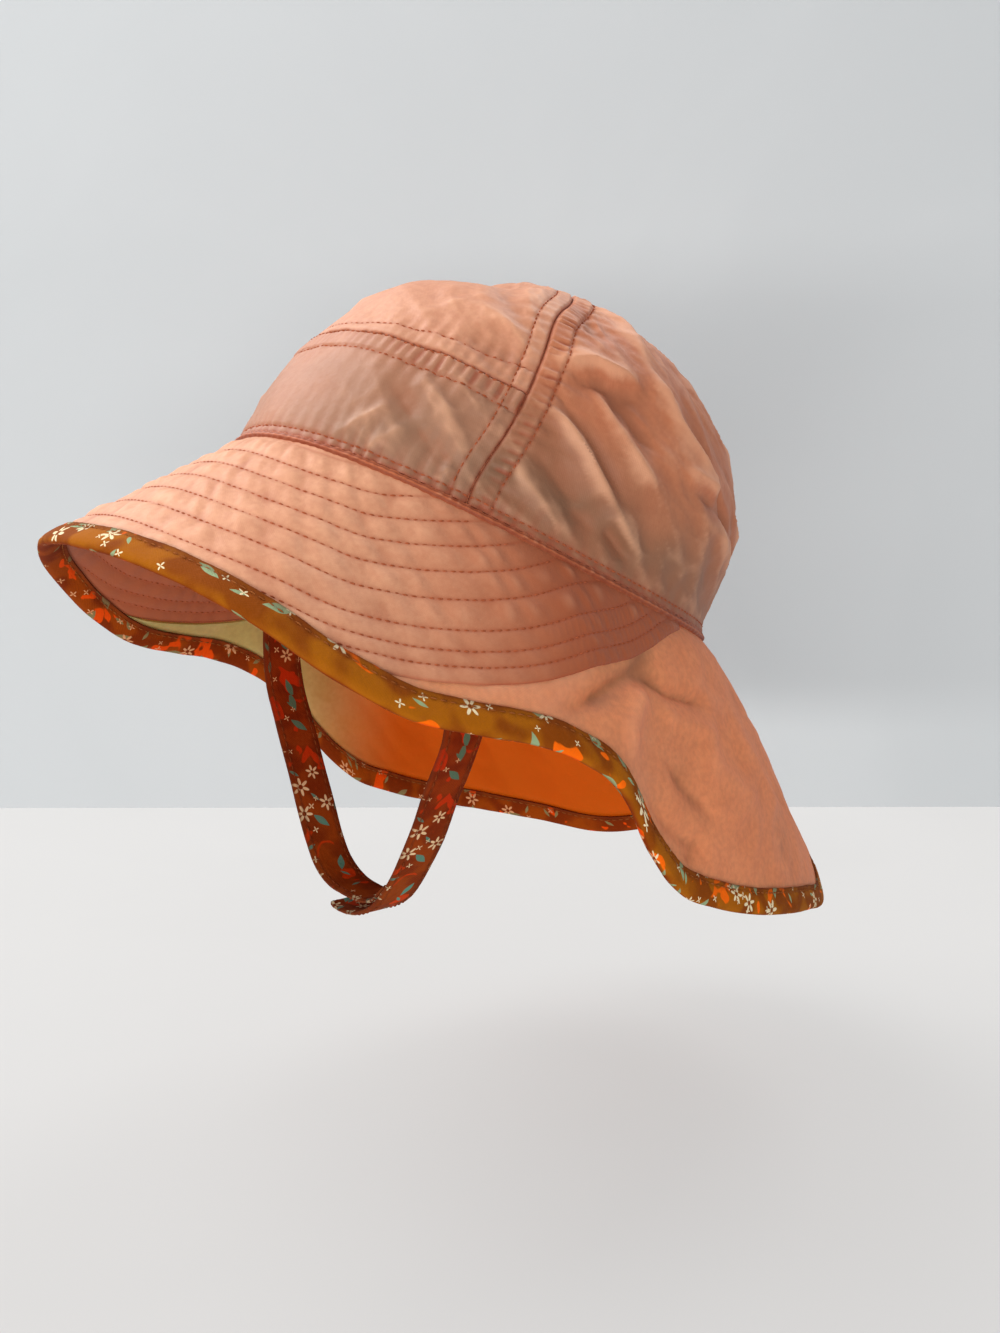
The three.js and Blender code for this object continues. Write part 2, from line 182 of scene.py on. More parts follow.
# Folds of the hanging flap, in the same order, with the distance out from the crown seam
FLAP_FOLDS = [
    (-3.4, 3.2, (99, 8), (94, 16), (88, 26), (80, 35), (72, 46), (65, 53)),
    (2.6, 4.0, (90, 29), (86, 36), (82, 46), (80, 58)),
    (-2.2, 2.5, (86, 27), (92, 27), (98, 28.5), (106, 28), (115, 26)),
    (1.3, 3.2, (90, 35), (103, 36.5), (116, 36)),
    (-1.4, 3.2, (91, 48), (99, 57), (108, 64)),
    (-1.2, 2.6, (102, 69), (95, 80)),
    (1.3, 5.5, (104, 41), (114, 50), (126, 60)),
    (-1.2, 3.2, (84, 62), (92, 70), (104, 74)),
    (1.0, 3.6, (62, 40), (53, 55)),
    (1.6, 5.5, (120, 32), (128, 46), (135, 64)), (-1.8, 5.5, (139, 26), (145, 50), (151, 78)),
    (1.9, 6.5, (159, 24), (163, 52), (167, 84)), (-2.6, 3.8, (-96, 10), (-86, 24), (-73, 46)),
    (1.6, 3.8, (-90, 30), (-100, 33), (-112, 34)), (-1.6, 4.6, (-102, 42), (-112, 52), (-124, 62)),
    (1.8, 5.6, (-132, 28), (-138, 50), (-143, 74)), (-1.8, 5.6, (-154, 24), (-160, 52), (-165, 80)),
]

# Broad hollows of the flap painted darker, and broad parts painted lighter where the lift is positive, in
# the same order
FLAP_PAINTED_LIGHT_AND_SHADE = [
    (-1.0, 7.0, (98, 12), (88, 28), (78, 42), (68, 54)),
    (-0.5, 6.0, (88, 50), (96, 60), (108, 66)),
    (0.9, 6.0, (78, 26), (70, 34), (60, 40), (48, 44)),
    (0.7, 5.0, (106, 18), (116, 24), (126, 30)),
]


def smooth(rows, column, at, free=False):
    """Smooth curve through one column of a table; it ends level, or straight on where free."""
    table = np.array(rows, dtype=float)
    x, y = table[:, 0], table[:, column]
    gap = np.diff(x)
    step = np.diff(y) / gap
    slope = np.zeros(len(x))
    slope[1:-1] = (step[:-1] * gap[1:] + step[1:] * gap[:-1]) / (gap[:-1] + gap[1:])
    if free:
        slope[0] = step[0]
        slope[-1] = step[-1]
    at = np.clip(np.asarray(at, dtype=float), x[0], x[-1])
    k = np.clip(np.searchsorted(x, at) - 1, 0, len(gap) - 1)
    h = gap[k]
    t = (at - x[k]) / h
    t2 = t * t
    t3 = t2 * t
    return ((2 * t3 - 3 * t2 + 1) * y[k] + (t3 - 2 * t2 + t) * h * slope[k]
            + (3 * t2 - 2 * t3) * y[k + 1] + (t3 - t2) * h * slope[k + 1])


def side(deg):
    """Angle from the front folded to 0 to 180, for tables shared by both sides."""
    a = np.mod(deg, 360.0)
    return np.where(a > 180, 360 - a, a)


def clamp(x):
    return np.clip(x, 0, 1)


def signed(deg):
    """Angle from the front, negative on the right side."""
    a = np.mod(deg, 360)
    return np.where(a > 180, a - 360, a)


def points(x, y, z):
    return np.stack(np.broadcast_arrays(x, y, z), axis=-1).astype(float)


def lean(x, y, z):
    forward, rise = math.cos(LEAN), math.sin(LEAN)
    return points(x, y * forward + z * rise, z * forward - y * rise)


def unit(v):
    return v / np.maximum(np.linalg.norm(v, axis=-1, keepdims=True), 1e-9)


def square_to(v, axis):
    """The part of a direction that is square to an axis."""
    return unit(v - axis * np.sum(v * axis, axis=-1)[..., None])


def ahead_of(deg, rise=0.0):
    """Direction out from the Z axis at an angle."""
    d = np.radians(deg)
    return points(np.sin(d), -np.cos(d), rise)


def seam_height(deg):
    return SEAM_SAG * (0.5 - np.sin(np.radians(deg)) ** 2)


def seam_point(deg):
    d = np.radians(deg)
    return lean(OPENING_WIDTH / 2 * np.sin(d), -OPENING_LENGTH / 2 * np.cos(d), seam_height(deg))


def crown_stations():
    """Crown profile rows with the length along the side in front."""
    rows = []
    along = 0.0
    for last, row in zip([CROWN_ROWS[0]] + CROWN_ROWS, CROWN_ROWS):
        inward = (row[1] + row[2] - last[1] - last[2]) / 2
        along += math.hypot(inward, (row[0] - last[0]) * CROWN_HEIGHT)
        rows.append((along, *row))
    return rows


CROWN_TABLE = crown_stations()
CROWN_SIDE = CROWN_TABLE[-1][0]


def crown_column(column, along):
    return smooth(CROWN_TABLE, column, along, True)


def crown_reach(along):
    return (crown_column(2, along) + crown_column(3, along)) / 2 * crown_column(4, along)


def crown_crease(deg, share):
    """Broad slack of the worn crown, out from its plain form."""
    a = side(deg)
    fade = np.sin(math.pi * clamp(share * 1.04))
    right = np.where(signed(deg) < 0, 70, 0)
    diagonal = 0.9 * np.sin(np.radians(a * 7 + share * 420 + right))
    behind = clamp((a - 60) / 25)
    lumps = 0.5 * np.sin(np.radians(a * 4 + 30)) * np.sin(np.radians(share * 540))
    return fade * (diagonal * behind + lumps)


def crown_point(deg, along):
    d = np.radians(deg)
    rise = crown_column(1, along)
    front = crown_column(2, along)
    back = crown_column(3, along)
    half = (front + back) / 2
    out = 1 + crown_crease(deg, along / CROWN_SIDE) / np.maximum(half, 12)
    x = half * crown_column(4, along) * np.sin(d) * out
    y = (back - front) / 2 - half * np.cos(d) * out
    return lean(x, y, CROWN_HEIGHT * rise + seam_height(deg) * np.maximum(0, 1 - rise))


def edge_point(deg):
    a = side(deg)
    radius = smooth(EDGE_ROWS, 1, a)
    d = np.radians(deg)
    return points(radius * np.sin(d), -radius * np.cos(d), smooth(EDGE_ROWS, 2, a))


def skirt_width(deg):
    return np.linalg.norm(seam_point(deg) - edge_point(deg), axis=-1)


def brim_width(deg):
    return np.minimum(smooth(BRIM_ROWS, 1, side(deg)), skirt_width(deg) - EDGE_INSET)


def skirt_point(deg, out):
    """Brim and flap share one skirt surface: out is the distance from the crown seam."""
    a = side(deg)
    start = seam_point(deg)
    end = edge_point(deg)
    t = out / np.linalg.norm(end - start, axis=-1)
    bow = SKIRT_BOW * clamp((a - 45) / 30) * 4 * t * (1 - t) * (1.3 - 0.6 * t)
    loose = clamp(3 * (a - 62) / 118)
    fold = FLAP_FOLD_DEPTH * np.sin(np.radians(a * 6.5 + 40)) * t * t * loose
    return start + (end - start) * t[..., None] + unit(ahead_of(deg, 0.4)) * (bow + fold)[..., None]


def outward(surface, deg, along):
    e = 0.25
    du = surface(deg + e, along) - surface(deg - e, along)
    dv = surface(deg, along + e) - surface(deg, along - e)
    n = unit(np.cross(dv, du))
    turned = np.sum(n * ahead_of(deg, 0.6), axis=-1) < 0
    return np.where(turned[..., None], -n, n)


def laid(surface, deg, along, lift):
    """Point of a surface moved along its outward normal."""
    deg, along, lift = np.broadcast_arrays(deg, along, lift)
    return surface(deg, along) + outward(surface, deg, along) * lift[..., None]


# Shapes of sewn cloth, as lifts in millimetres
def step_up(x, at, soft):
    t = clamp((x - at) / soft + 0.5)
    return t * t * (3 - 2 * t)


def plateau(x, start, end, soft=1.0):
    return step_up(x, start, soft) * (1 - step_up(x, end, soft))


def dip(x, at, wide):
    return np.exp(-((x - at) / wide) ** 2)


def drift(u, v, size, seed):
    """Smooth uneven field of about -1 to 1, with lumps of that size."""
    rng = np.random.RandomState(seed)
    total = 0
    for _ in range(7):
        turn = rng.uniform(0, 2 * math.pi)
        wave = size * rng.uniform(0.7, 1.7)
        start = rng.uniform(0, 2 * math.pi)
        total = total + np.sin((u * math.cos(turn) + v * math.sin(turn)) * 2 * math.pi / wave + start)
    return total / 3.2


def crinkle(u, v, size, seed):
    """Sharp little creases of crumpled thin cloth, longest down and back, about 0 on average."""
    across = np.abs(u) * 0.62 + v * 0.78
    along = (np.abs(u) * 0.78 - v * 0.62) * 0.5
    a = drift(across, along, size * 1.5, seed)
    b = drift(across, along, size, seed + 50)
    return 0.45 - np.abs(a * 0.8 + 0.35 * b)


def pucker(v, u, pitch, seed):
    """Gathers of uneven pitch along v that drift a little across u."""
    wander = 1.3 * drift(v, u, pitch * 5, seed)
    return np.tanh(1.8 * np.sin(2 * math.pi * v / pitch + wander))


def folds(deg, along, rows, reach):
    """Ridges, or valleys where the lift is negative, along bent lines that fade out at both ends."""
    total = 0.0
    for high, wide, *path in rows:
        scale = math.radians(1) * float(reach(sum(p[1] for p in path) / len(path)))
        knots = np.array(path, dtype=float) * (scale, 1.0)
        steps = np.concatenate([[0], np.cumsum(np.linalg.norm(np.diff(knots, axis=0), axis=1))])
        near = np.full(np.shape(deg), 1e6)
        share = np.zeros(np.shape(deg))
        for k in range(len(knots) - 1):
            run = knots[k + 1] - knots[k]
            x = deg * scale - knots[k][0]
            y = along - knots[k][1]
            t = clamp((x * run[0] + y * run[1]) / (run @ run))
            off = np.hypot(x - t * run[0], y - t * run[1])
            closer = off < near
            near = np.where(closer, off, near)
            share = np.where(closer, (steps[k] + t * (steps[k + 1] - steps[k])) / steps[-1], share)
        fade = step_up(share, 0.14, 0.28) * (1 - step_up(share, 0.84, 0.32))
        total = total + high * fade * np.exp(-(near / wide) ** 1.4)
    return total


def fan(run, off, start, pitch, seed, reach, way=1):
    """Puckers that spread from a stitch line and die out beyond it."""
    past = way * off - start
    spread = pucker(run, off * 0.5, pitch, seed) * np.exp(-np.abs(past) / reach)
    return np.where(past > 0, spread, 0)


def uneven(u, v, seed):
    return np.clip(0.6 + 0.7 * drift(u, v, 9, seed), 0.1, 1.2)


def front_seam(deg):
    """Length along the crown side at which the front's cross seam runs."""
    share = np.cos(np.radians(side(deg) / PANEL_SEAM_DEG * 90))
    rise = FRONT_SEAM_RISE + FRONT_SEAM_ARCH * share
    alongs = np.linspace(0, CROWN_SIDE, 600)
    return np.interp(rise, crown_column(1, alongs), alongs)


def topstitch_gap(deg):
    """The upper stitch line draws away from the front's cross seam towards the sides."""
    return 3.4 + 0.085 * side(deg)


def crown_seams(deg, along):
    """Distances to the crown's seams, and what its lift and its painted shade along the seams have in
    common.
    """
    a = side(deg)
    reach = crown_reach(along)
    u = np.radians(a) * CROWN_ROUND * np.where(np.mod(deg, 360) < 180, 1.0, -1.0)
    behind = np.radians(a - PANEL_SEAM_DEG) * reach
    tail = np.radians(180 - a) * reach
    over = along - front_seam(deg)
    foot = along - CROWN_CLEAR
    in_front = 1 - step_up(a, PANEL_SEAM_DEG, 0.5)
    aside = 0.35 + 0.65 * clamp((a - 12) / 22)
    side_tucks = pucker(along, behind * 0.5, 2.9, 11) * uneven(u, along, 26)
    back_tucks = pucker(along, tail * 0.5, 3.4, 15)
    cross_tucks = pucker(u, over * 0.6, 3.7, 17)
    foot_tucks = pucker(u, foot * 0.5, 4.9, 19)
    tucks = (side_tucks, back_tucks, cross_tucks, foot_tucks)
    return a, reach, u, (behind, tail, over, foot), (in_front, aside), tucks


def crown_lift(deg, along):
    a, reach, u, gaps, (in_front, aside), tucks = crown_seams(deg, along)
    behind, tail, over, foot = gaps
    side_tucks, back_tucks, cross_tucks, foot_tucks = tucks
    lift = 1.4 * folds(signed(deg), along, CROWN_FOLDS, crown_reach) + 0.2 * drift(u, along, 26, 3)
    loose = 0.3 + 0.8 * clamp((a - 14) / 24)
    lift += loose * (crinkle(u, along, 15, 4) + 0.36 * crinkle(u, along, 6, 5))
    lift *= (1 - 0.75 * dip(behind, 0.8, 6.5)) * (1 - 0.6 * dip(tail, 2.0, 6.0))
    sewn = -0.65 * dip(behind, 0, 0.5) - 0.4 * dip(behind, SIDE_STITCH, 0.55)
    sewn += plateau(behind, 0.7, 5.6, 0.9) * (0.3 + 0.3 * side_tucks)
    sewn += 0.3 * fan(along, behind, SIDE_STITCH, 5.3, 12, 5)
    ahead = -behind
    sewn += plateau(ahead, 0.7, 4.4, 0.9) * (0.12 + 0.14 * pucker(along, ahead, 4.6, 13))
    sewn += 0.22 * fan(along, ahead, FRONT_STITCH, 6.1, 14, 6) - 0.34 * dip(ahead, FRONT_STITCH, 0.5)
    sewn += (u > 0) * plateau(tail, 0.7, 5.6, 0.9) * (0.3 + 0.3 * back_tucks)
    sewn += -0.65 * dip(tail, 0, 0.5) - 0.36 * dip(tail, SIDE_STITCH, 0.55)
    gap = topstitch_gap(deg)
    cross = -0.6 * dip(over, 0, 0.5) - 0.34 * dip(over, gap, 0.5) - 0.4 * dip(-over, CROSS_STITCH, 0.55)
    cross += plateau(over, 0.7, gap - 0.4, 0.8) * (0.12 + 0.12 * aside * pucker(u, over, 3.6, 27))
    cross += plateau(-over, 0.7, 6.6, 0.9) * (0.26 + 0.3 * aside * cross_tucks)
    cross += 0.26 * aside * fan(u, over, gap, 4.9, 16, 5)
    cross += 0.26 * aside * fan(u, over, CROSS_STITCH, 5.6, 18, 6, -1)
    gather = 0.18 + 0.3 * in_front * clamp((a - 18) / 12)
    sewn += cross * in_front + gather * foot_tucks * np.exp(-foot / (4 + 5 * in_front))
    sewn -= 0.3 * dip(foot, FOOT_STITCH, 0.6)
    return (lift * np.clip(foot / 6, 0.15, 1) + sewn) * clamp(reach / 14)


def crown_painted_light(deg, along):
    """Painted highlight on ridges and painted shade in creases, and the sides painted lighter high up:
    0.5 is neither.
    """
    a = side(deg)
    u = np.radians(a) * CROWN_ROUND
    loose = 0.25 + 0.75 * clamp((a - 14) / 24)
    fine = crinkle(u, along, 15, 4) + 0.5 * crinkle(u, along, 6, 5) + 0.45 * crinkle(u, along, 3.2, 6)
    narrow = [row for row in CROWN_FOLDS if row[1] < WIDE_FOLD]
    height = 0.75 * folds(signed(deg), along, narrow, crown_reach) + 0.9 * loose * fine
    height += 0.4 * step_up(along, 80, 40) * step_up(a, PANEL_SEAM_DEG, 2)
    return clamp(0.5 + 0.37 * height)


def crown_painted_groove_shade(deg, along):
    """Painted shade along the crown's seams and stitch lines, in the wells between their puckers and at
    its foot against the welt.
    """
    _, _, u, (behind, tail, over, foot), (in_front, aside), tucks = crown_seams(deg, along)
    side_wells, back_wells, _, foot_wells = (clamp(-tuck) for tuck in tucks)
    dark = dip(behind, 0, 0.45) + 0.85 * plateau(behind, 2.6, 6.4, 1.6) * side_wells
    dark += 0.5 * dip(behind, SIDE_STITCH, 0.5) + 0.45 * dip(behind, -FRONT_STITCH, 0.5)
    dark += dip(tail, 0, 0.45) + 0.5 * dip(tail, SIDE_STITCH, 0.5)
    dark += 0.5 * (u > 0) * plateau(tail, 1.2, 5.6, 1.4) * back_wells
    cross_wells = aside * clamp(-tucks[2] * uneven(u, along, 36))
    cross = 0.9 * dip(over, 0, 0.45) + 0.5 * dip(over, topstitch_gap(deg), 0.5)
    cross += 0.85 * plateau(-over, 1.0, 6.6, 1.4) * cross_wells + 0.4 * dip(-over, CROSS_STITCH, 0.5)
    dark += cross * in_front + 0.6 * dip(foot, FOOT_STITCH, 0.5) + 0.5 * np.exp(-foot / 0.6)
    return clamp(dark + 0.55 * foot_wells * np.exp(-foot / 3.6))


def crown_painted_shade(deg, along):
    """Painted shade: the crown painted greyer low on the sides and over the lower front panel, where it
    faces away from the light; weaker on the back and the right side.
    """
    a = side(deg)
    turned = signed(deg)
    u = np.radians(deg) * CROWN_ROUND
    line = 34 - 10 * clamp((a - 62) / 30) + 3 * drift(u, along, 50, 28)
    middle = np.where(a < PANEL_SEAM_DEG, 0.35 + 0.65 * clamp(a / 34), 1.0)
    far_side = np.where(turned < 0, step_up(-turned, 20, 50), step_up(turned, 128, 40))
    low = (1 - step_up(along, line, 28)) * middle * (1 - 0.55 * far_side)
    return clamp(low * (0.85 + 0.12 * drift(u, along, 18, 29)))


def quilt(deg, out):
    """Share of a quilting row's puff, the distance in from the outer edge and the run round it."""
    x = np.clip(smooth(BRIM_ROWS, 1, side(deg)) - out, 0, QUILT_ROWS[-1] - 0.01)
    rows = np.array(QUILT_ROWS)
    k = np.clip(np.searchsorted(rows, x, side="right") - 1, 0, len(rows) - 2)
    wide = rows[k + 1] - rows[k]
    share = np.sin(math.pi * clamp((x - rows[k]) / wide)) ** 0.65
    return share * np.clip(wide / 8.5, 0.55, 1.0), x, np.radians(deg) * SKIRT_ROUND


def brim_slant(u, x):
    """Slanting ripples that the quilting draws in the brim."""
    return np.sin(2 * math.pi * (u * 0.86 + x * 0.5) / 9.6 + 2.4 * drift(u, x, 34, 21))


def brim_ends(deg, out):
    """Share of the brim's lift that the binding leaves, and the rounding of its outer edge."""
    tame = step_up(skirt_width(deg) - out, BINDING_WIDTH + 0.6, 2.0)
    return tame, 0.7 * np.exp(-np.clip(brim_width(deg) - out, 0, None) / 0.5)


def brim_top(deg, out):
    a = side(deg)
    puff, x, u = quilt(deg, out)
    tame, rounded = brim_ends(deg, out)
    ripple = 0.24 * brim_slant(u, x)
    ripple += 0.1 * pucker(u * 0.86 + x * 0.5, x * 0.3, 4.4, 25) * np.clip(1.1 - a / 60, 0.2, 1)
    ripple += 0.2 * pucker(u, x * 0.4, 2.9, 22) * clamp((a - 62) / 16) * plateau(x, -1, 15.5)
    lift = -0.34 + puff * (0.72 + ripple + 0.24 * drift(u, x, 16, 23))
    foot = clamp((out - SKIRT_CLEAR) / 3)
    return (lift - rounded) * tame * (0.3 + 0.7 * foot) - 0.15 * (1 - tame)


def brim_under(deg, out):
    puff, x, u = quilt(deg, out)
    tame, rounded = brim_ends(deg, out)
    lift = 0.3 - puff * (0.6 + 0.16 * pucker(u, x * 0.3, 6.5, 24))
    return -BRIM_CLOTH + (lift + rounded) * tame + 0.5 * (1 - tame)


# Painted highlight on the brim's puffs and slanting ripples and painted shade between them: 0.5 is
# neither.
def brim_painted_light(deg, out):
    puff, x, u = quilt(deg, out)
    wear_and_painted_light = 0.12 * brim_slant(u, x) * puff + 0.08 * drift(u, x, 16, 23) + 0.1 * (puff - 0.5)
    return clamp(0.46 + wear_and_painted_light)


def gripped(deg, out):
    """1 where cloth lies inside the binding, falling to 0 just before it."""
    return 1 - step_up(skirt_width(deg) - out, BINDING_WIDTH + 1.0, 2.4)


def flap_folds(deg, out, rows):
    return folds(signed(deg), out, rows, lambda out: 95.0)


def flap_foot(deg):
    behind = step_up(side(deg), BRIM_TIP_DEG, 6)
    return np.maximum(0.7, brim_width(deg) - 0.35 - 1.5 * behind)


def flap_lift(deg, out):
    u = np.radians(deg) * FLAP_ROUND
    past_foot = out - flap_foot(deg)
    lift = 1.3 * flap_folds(deg, out, FLAP_FOLDS) + 0.4 * drift(u, out, 34, 31)
    lift += 0.8 * crinkle(u, out, 20, 32) + 0.35 * crinkle(u, out, 8, 33)
    lift *= step_up(skirt_width(deg) - out, BINDING_WIDTH + 1.5, 4.0) * clamp(past_foot / 8)
    return lift - 0.6 * np.exp(-np.clip(past_foot, 0, None) / 1.5)


# Painted highlight and shade on the flap's folds, crinkles and hollows, and its fore part painted lighter
# as if lit through: 0.5 is neither.
def flap_painted_light(deg, out):
    u = np.radians(signed(deg)) * FLAP_ROUND
    height = 0.5 * flap_folds(deg, out, FLAP_FOLDS) + flap_folds(deg, out, FLAP_PAINTED_LIGHT_AND_SHADE)
    for much, size, seed in ((0.6, 20, 32), (0.4, 8, 33), (0.3, 3.6, 34)):
        height += much * crinkle(u, out, size, seed)
    return clamp(0.5 + 0.24 * (1 - step_up(side(deg), 86, 24)) + 0.24 * height)


# Making of the pieces
def select_nothing():
    bpy.ops.object.select_all(action="DESELECT")


def edit_all(piece):
    """Opens a piece for editing with all of it selected."""
    select_nothing()
    piece.select_set(True)
    bpy.context.view_layer.objects.active = piece
    bpy.ops.object.mode_set(mode="EDIT")
    bpy.ops.mesh.select_all(action="SELECT")


def named(piece, name):
    piece.name = name
    piece.data.name = name
    return piece


def laid_grid(name, across, up):
    """A flat grid with its corners at -0.5 and 0.5, ready to be laid as cut cloth."""
    select_nothing()
    bpy.ops.mesh.primitive_grid_add(x_subdivisions=across, y_subdivisions=up, size=1, calc_uvs=True)
    return named(bpy.context.object, name)


def read_points(mesh):
    flat = np.empty(len(mesh.vertices) * 3)
    mesh.vertices.foreach_get("co", flat)
    return flat.reshape(-1, 3)


def write_points(mesh, where):
    mesh.vertices.foreach_set("co", (where * MM).astype(np.float32).ravel())
    mesh.update()


def write_cloth_map(mesh, u, v):
    """UV map in metres along and across the cloth."""
    index = np.empty(len(mesh.loops), dtype=np.int32)
    mesh.loops.foreach_get("vertex_index", index)
    uv = np.stack([u, v], axis=-1)[index] * MM
    mesh.uv_layers[0].data.foreach_set("uv", uv.astype(np.float32).ravel())
    mesh.uv_layers[0].name = "cloth"


def write_mask(mesh, name, values):
    layer = mesh.attributes.new(name, "FLOAT", "POINT")
    layer.data.foreach_set("value", values.astype(np.float32).ravel())


def finish_mesh(piece):
    edit_all(piece)
    bpy.ops.mesh.remove_doubles(threshold=0.000004)
    bpy.ops.mesh.normals_make_consistent(inside=False)
    bpy.ops.object.mode_set(mode="OBJECT")
    bpy.ops.object.shade_smooth_by_angle(angle=math.radians(50))


def drop_ends(piece, s):
    """Takes away the rim faces where a ring's two ends meet, so that they can be joined."""
    mesh = piece.data
    mesh.vertices.foreach_set("select", [False] * len(mesh.vertices))
    mesh.edges.foreach_set("select", [False] * len(mesh.edges))
    for face in mesh.polygons:
        ends = [float(s[i]) for i in face.vertices]
        face.select = max(ends) < 1e-6 or min(ends) > 1 - 1e-6
    bpy.ops.object.mode_set(mode="EDIT")
    bpy.ops.mesh.delete(type="FACE")
    bpy.ops.mesh.select_all(action="DESELECT")
    bpy.ops.object.mode_set(mode="OBJECT")


def sewn_cloth(name, grid, place, ring=False):
    """Cloth with two faces. place(s, t) gives its upper and under points, its map and its masks."""
    piece = laid_grid(name, *grid)
    wall = piece.modifiers.new("wall", "SOLIDIFY")
    wall.thickness = 0.02
    wall.offset = -1
    bpy.ops.object.modifier_apply(modifier=wall.name)
    mesh = piece.data
    flat = read_points(mesh)
    s, t = clamp(flat[:len(flat) // 2, :2].T + 0.5)
    top, under, u, v, masks = place(s, t)
    write_points(mesh, np.concatenate([top, under]))
    write_cloth_map(mesh, np.tile(u, 2), np.tile(v, 2))
    for mask, values in masks.items():
        above, below = values if isinstance(values, tuple) else (values, values)
        write_mask(mesh, mask, np.concatenate([above, below]))
    if ring:
        drop_ends(piece, np.tile(s, 2))
    finish_mesh(piece)
    return piece


def belongs(piece, slot, finish, *nodes):
    """Makes a piece move with the root, hides the CAD nodes it stands for and gives it what it is made
    of.
    """
    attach(piece, "root")
    if nodes:
        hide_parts(*nodes)
    piece.data.materials.clear()
    piece.data.materials.append(finish)


def crown_panel(name, start, end, grid, near, far, crowd):
    """A panel of the crown; crowd draws its columns closer towards its two sewn edges."""
    def place(s, t):
        middle = (start + end) / 2
        reach = (end - start) / 2
        share = 2 * (s - crowd * np.sin(2 * math.pi * s) / (2 * math.pi)) - 1
        along = near(middle + reach * share)
        along = along + (far(middle + reach * share) - along) * t
        trim = np.degrees(np.arcsin(np.minimum(0.9, 0.13 / np.maximum(0.6, crown_reach(along)))))
        deg = middle + (reach - trim) * share
        lift = crown_lift(deg, along)
        top = laid(crown_point, deg, along, lift)
        under = laid(crown_point, deg, along, np.minimum(lift, 0.6) - CROWN_CLOTH)
        masks = {"ditch": crown_painted_groove_shade(deg, along), "shade": crown_painted_shade(deg, along),
                 "wear": crown_painted_light(deg, along)}
        return top, under, np.radians(deg) * CROWN_ROUND, along, masks
    return sewn_cloth(name, grid, place)


def skirt_layer(name, start, end, grid, near, far, top_lift, under_lift, masks_of):
    """A layer of the brim or the flap, from its far edge in to its near one."""
    def place(s, t):
        deg = start + (end - start) * s
        out = far(deg) + (near(deg) - far(deg)) * t
        above = top_lift(deg, out)
        top = laid(skirt_point, deg, out, above)
        under = laid(skirt_point, deg, out, under_lift(deg, out))
        return top, under, np.radians(deg) * SKIRT_ROUND, out, masks_of(deg, out, above)
    return sewn_cloth(name, grid, place)


def brim_masks(deg, out, above):
    even = np.ones_like(deg)
    line = np.min([np.abs(quilt(deg, out)[1] - row) for row in QUILT_ROWS], axis=0)
    # Painted shade along the quilting lines and in grooves, painted highlight and shade on the top's
    # puffs and ripples, the top painted darker towards the sides and back, and the underside painted
    # darker all over.
    ditch = 0.3 * dip(line, 0, 0.6) + 0.6 * clamp(-above / 0.5)
    return {"ditch": clamp(ditch), "wear": (brim_painted_light(deg, out), even * 0.5),
            "shade": (step_up(side(deg), 55, 46), even)}


def flap_masks(deg, out, above):
    return {"ditch": np.zeros_like(deg), "wear": flap_painted_light(deg, out)}


def lining_masks(deg, out, above):
    # The lining painted orange towards the back: a painted glow of light coming through the flap.
    return {"ditch": np.zeros_like(deg), "wear": np.full_like(deg, 0.5),
            "shade": step_up(side(deg), 90, 36)}


def binding_outline(deg, t, inset):
    """Across the folded tape: distance out, lift above the skirt and run from the fold."""
    middle = -0.95
    half = 1.65 - inset
    bend = 2.6
    tip = bend - inset
    arc = math.pi / 2 * (tip + half) / 2
    run = np.abs(t - 0.5) * 2 * (BINDING_WIDTH - bend + arc)
    turn = clamp(run / arc) * math.pi / 2
    along = np.where(run < arc, tip * np.cos(turn) - bend, arc - bend - run)
    lift = np.where(run < arc, half * np.sin(turn), half)
    return skirt_width(deg) + along, middle + np.sign(t - 0.5 + 1e-9) * lift, run


def bound_edge(name, grid):
    """Tape folded over the edge of brim and flap."""
    def place(s, t):
        deg = 180 + 360 * s
        u = np.radians(deg) * BINDING_ROUND
        out, lift, run = binding_outline(deg, t, 0.0)
        inner_out, inner_lift, _ = binding_outline(deg, t, 0.6)
        in_from = BINDING_WIDTH - skirt_width(deg) + out
        above = np.where(t > 0.5, 1.0, -1.0)
        relief = -0.28 * dip(in_from, TAPE_STITCH, 0.55)
        relief += 0.12 * pucker(u, in_from, 3.6, 41) * dip(in_from, 1.6, 1.8)
        relief += 0.18 * drift(u, run, 12, 42) * clamp(in_from / 2) + 0.15 * dip(in_from, 4.2, 2.0)
        hem = 0.25 * drift(u, run * 0 + 5, 9, 43) * dip(in_from, 0, 1.2)
        top = laid(skirt_point, deg, out - hem, lift + above * relief)
        under = laid(skirt_point, deg, np.minimum(inner_out, skirt_width(deg) - 0.6), inner_lift)
        # Painted shade: a dark line at the tape's inner edge and along its stitch line, and its underside
        # painted darker and redder.
        ditch = dip(in_from, 0, 0.8) + 0.5 * dip(in_from, TAPE_STITCH, 0.6)
        masks = {"ditch": clamp(ditch), "shade": 1 - step_up(t, 0.5, 0.08)}
        return top, under, u, np.where(t > 0.5, -run, run), masks
    return sewn_cloth(name, grid, place, ring=True)


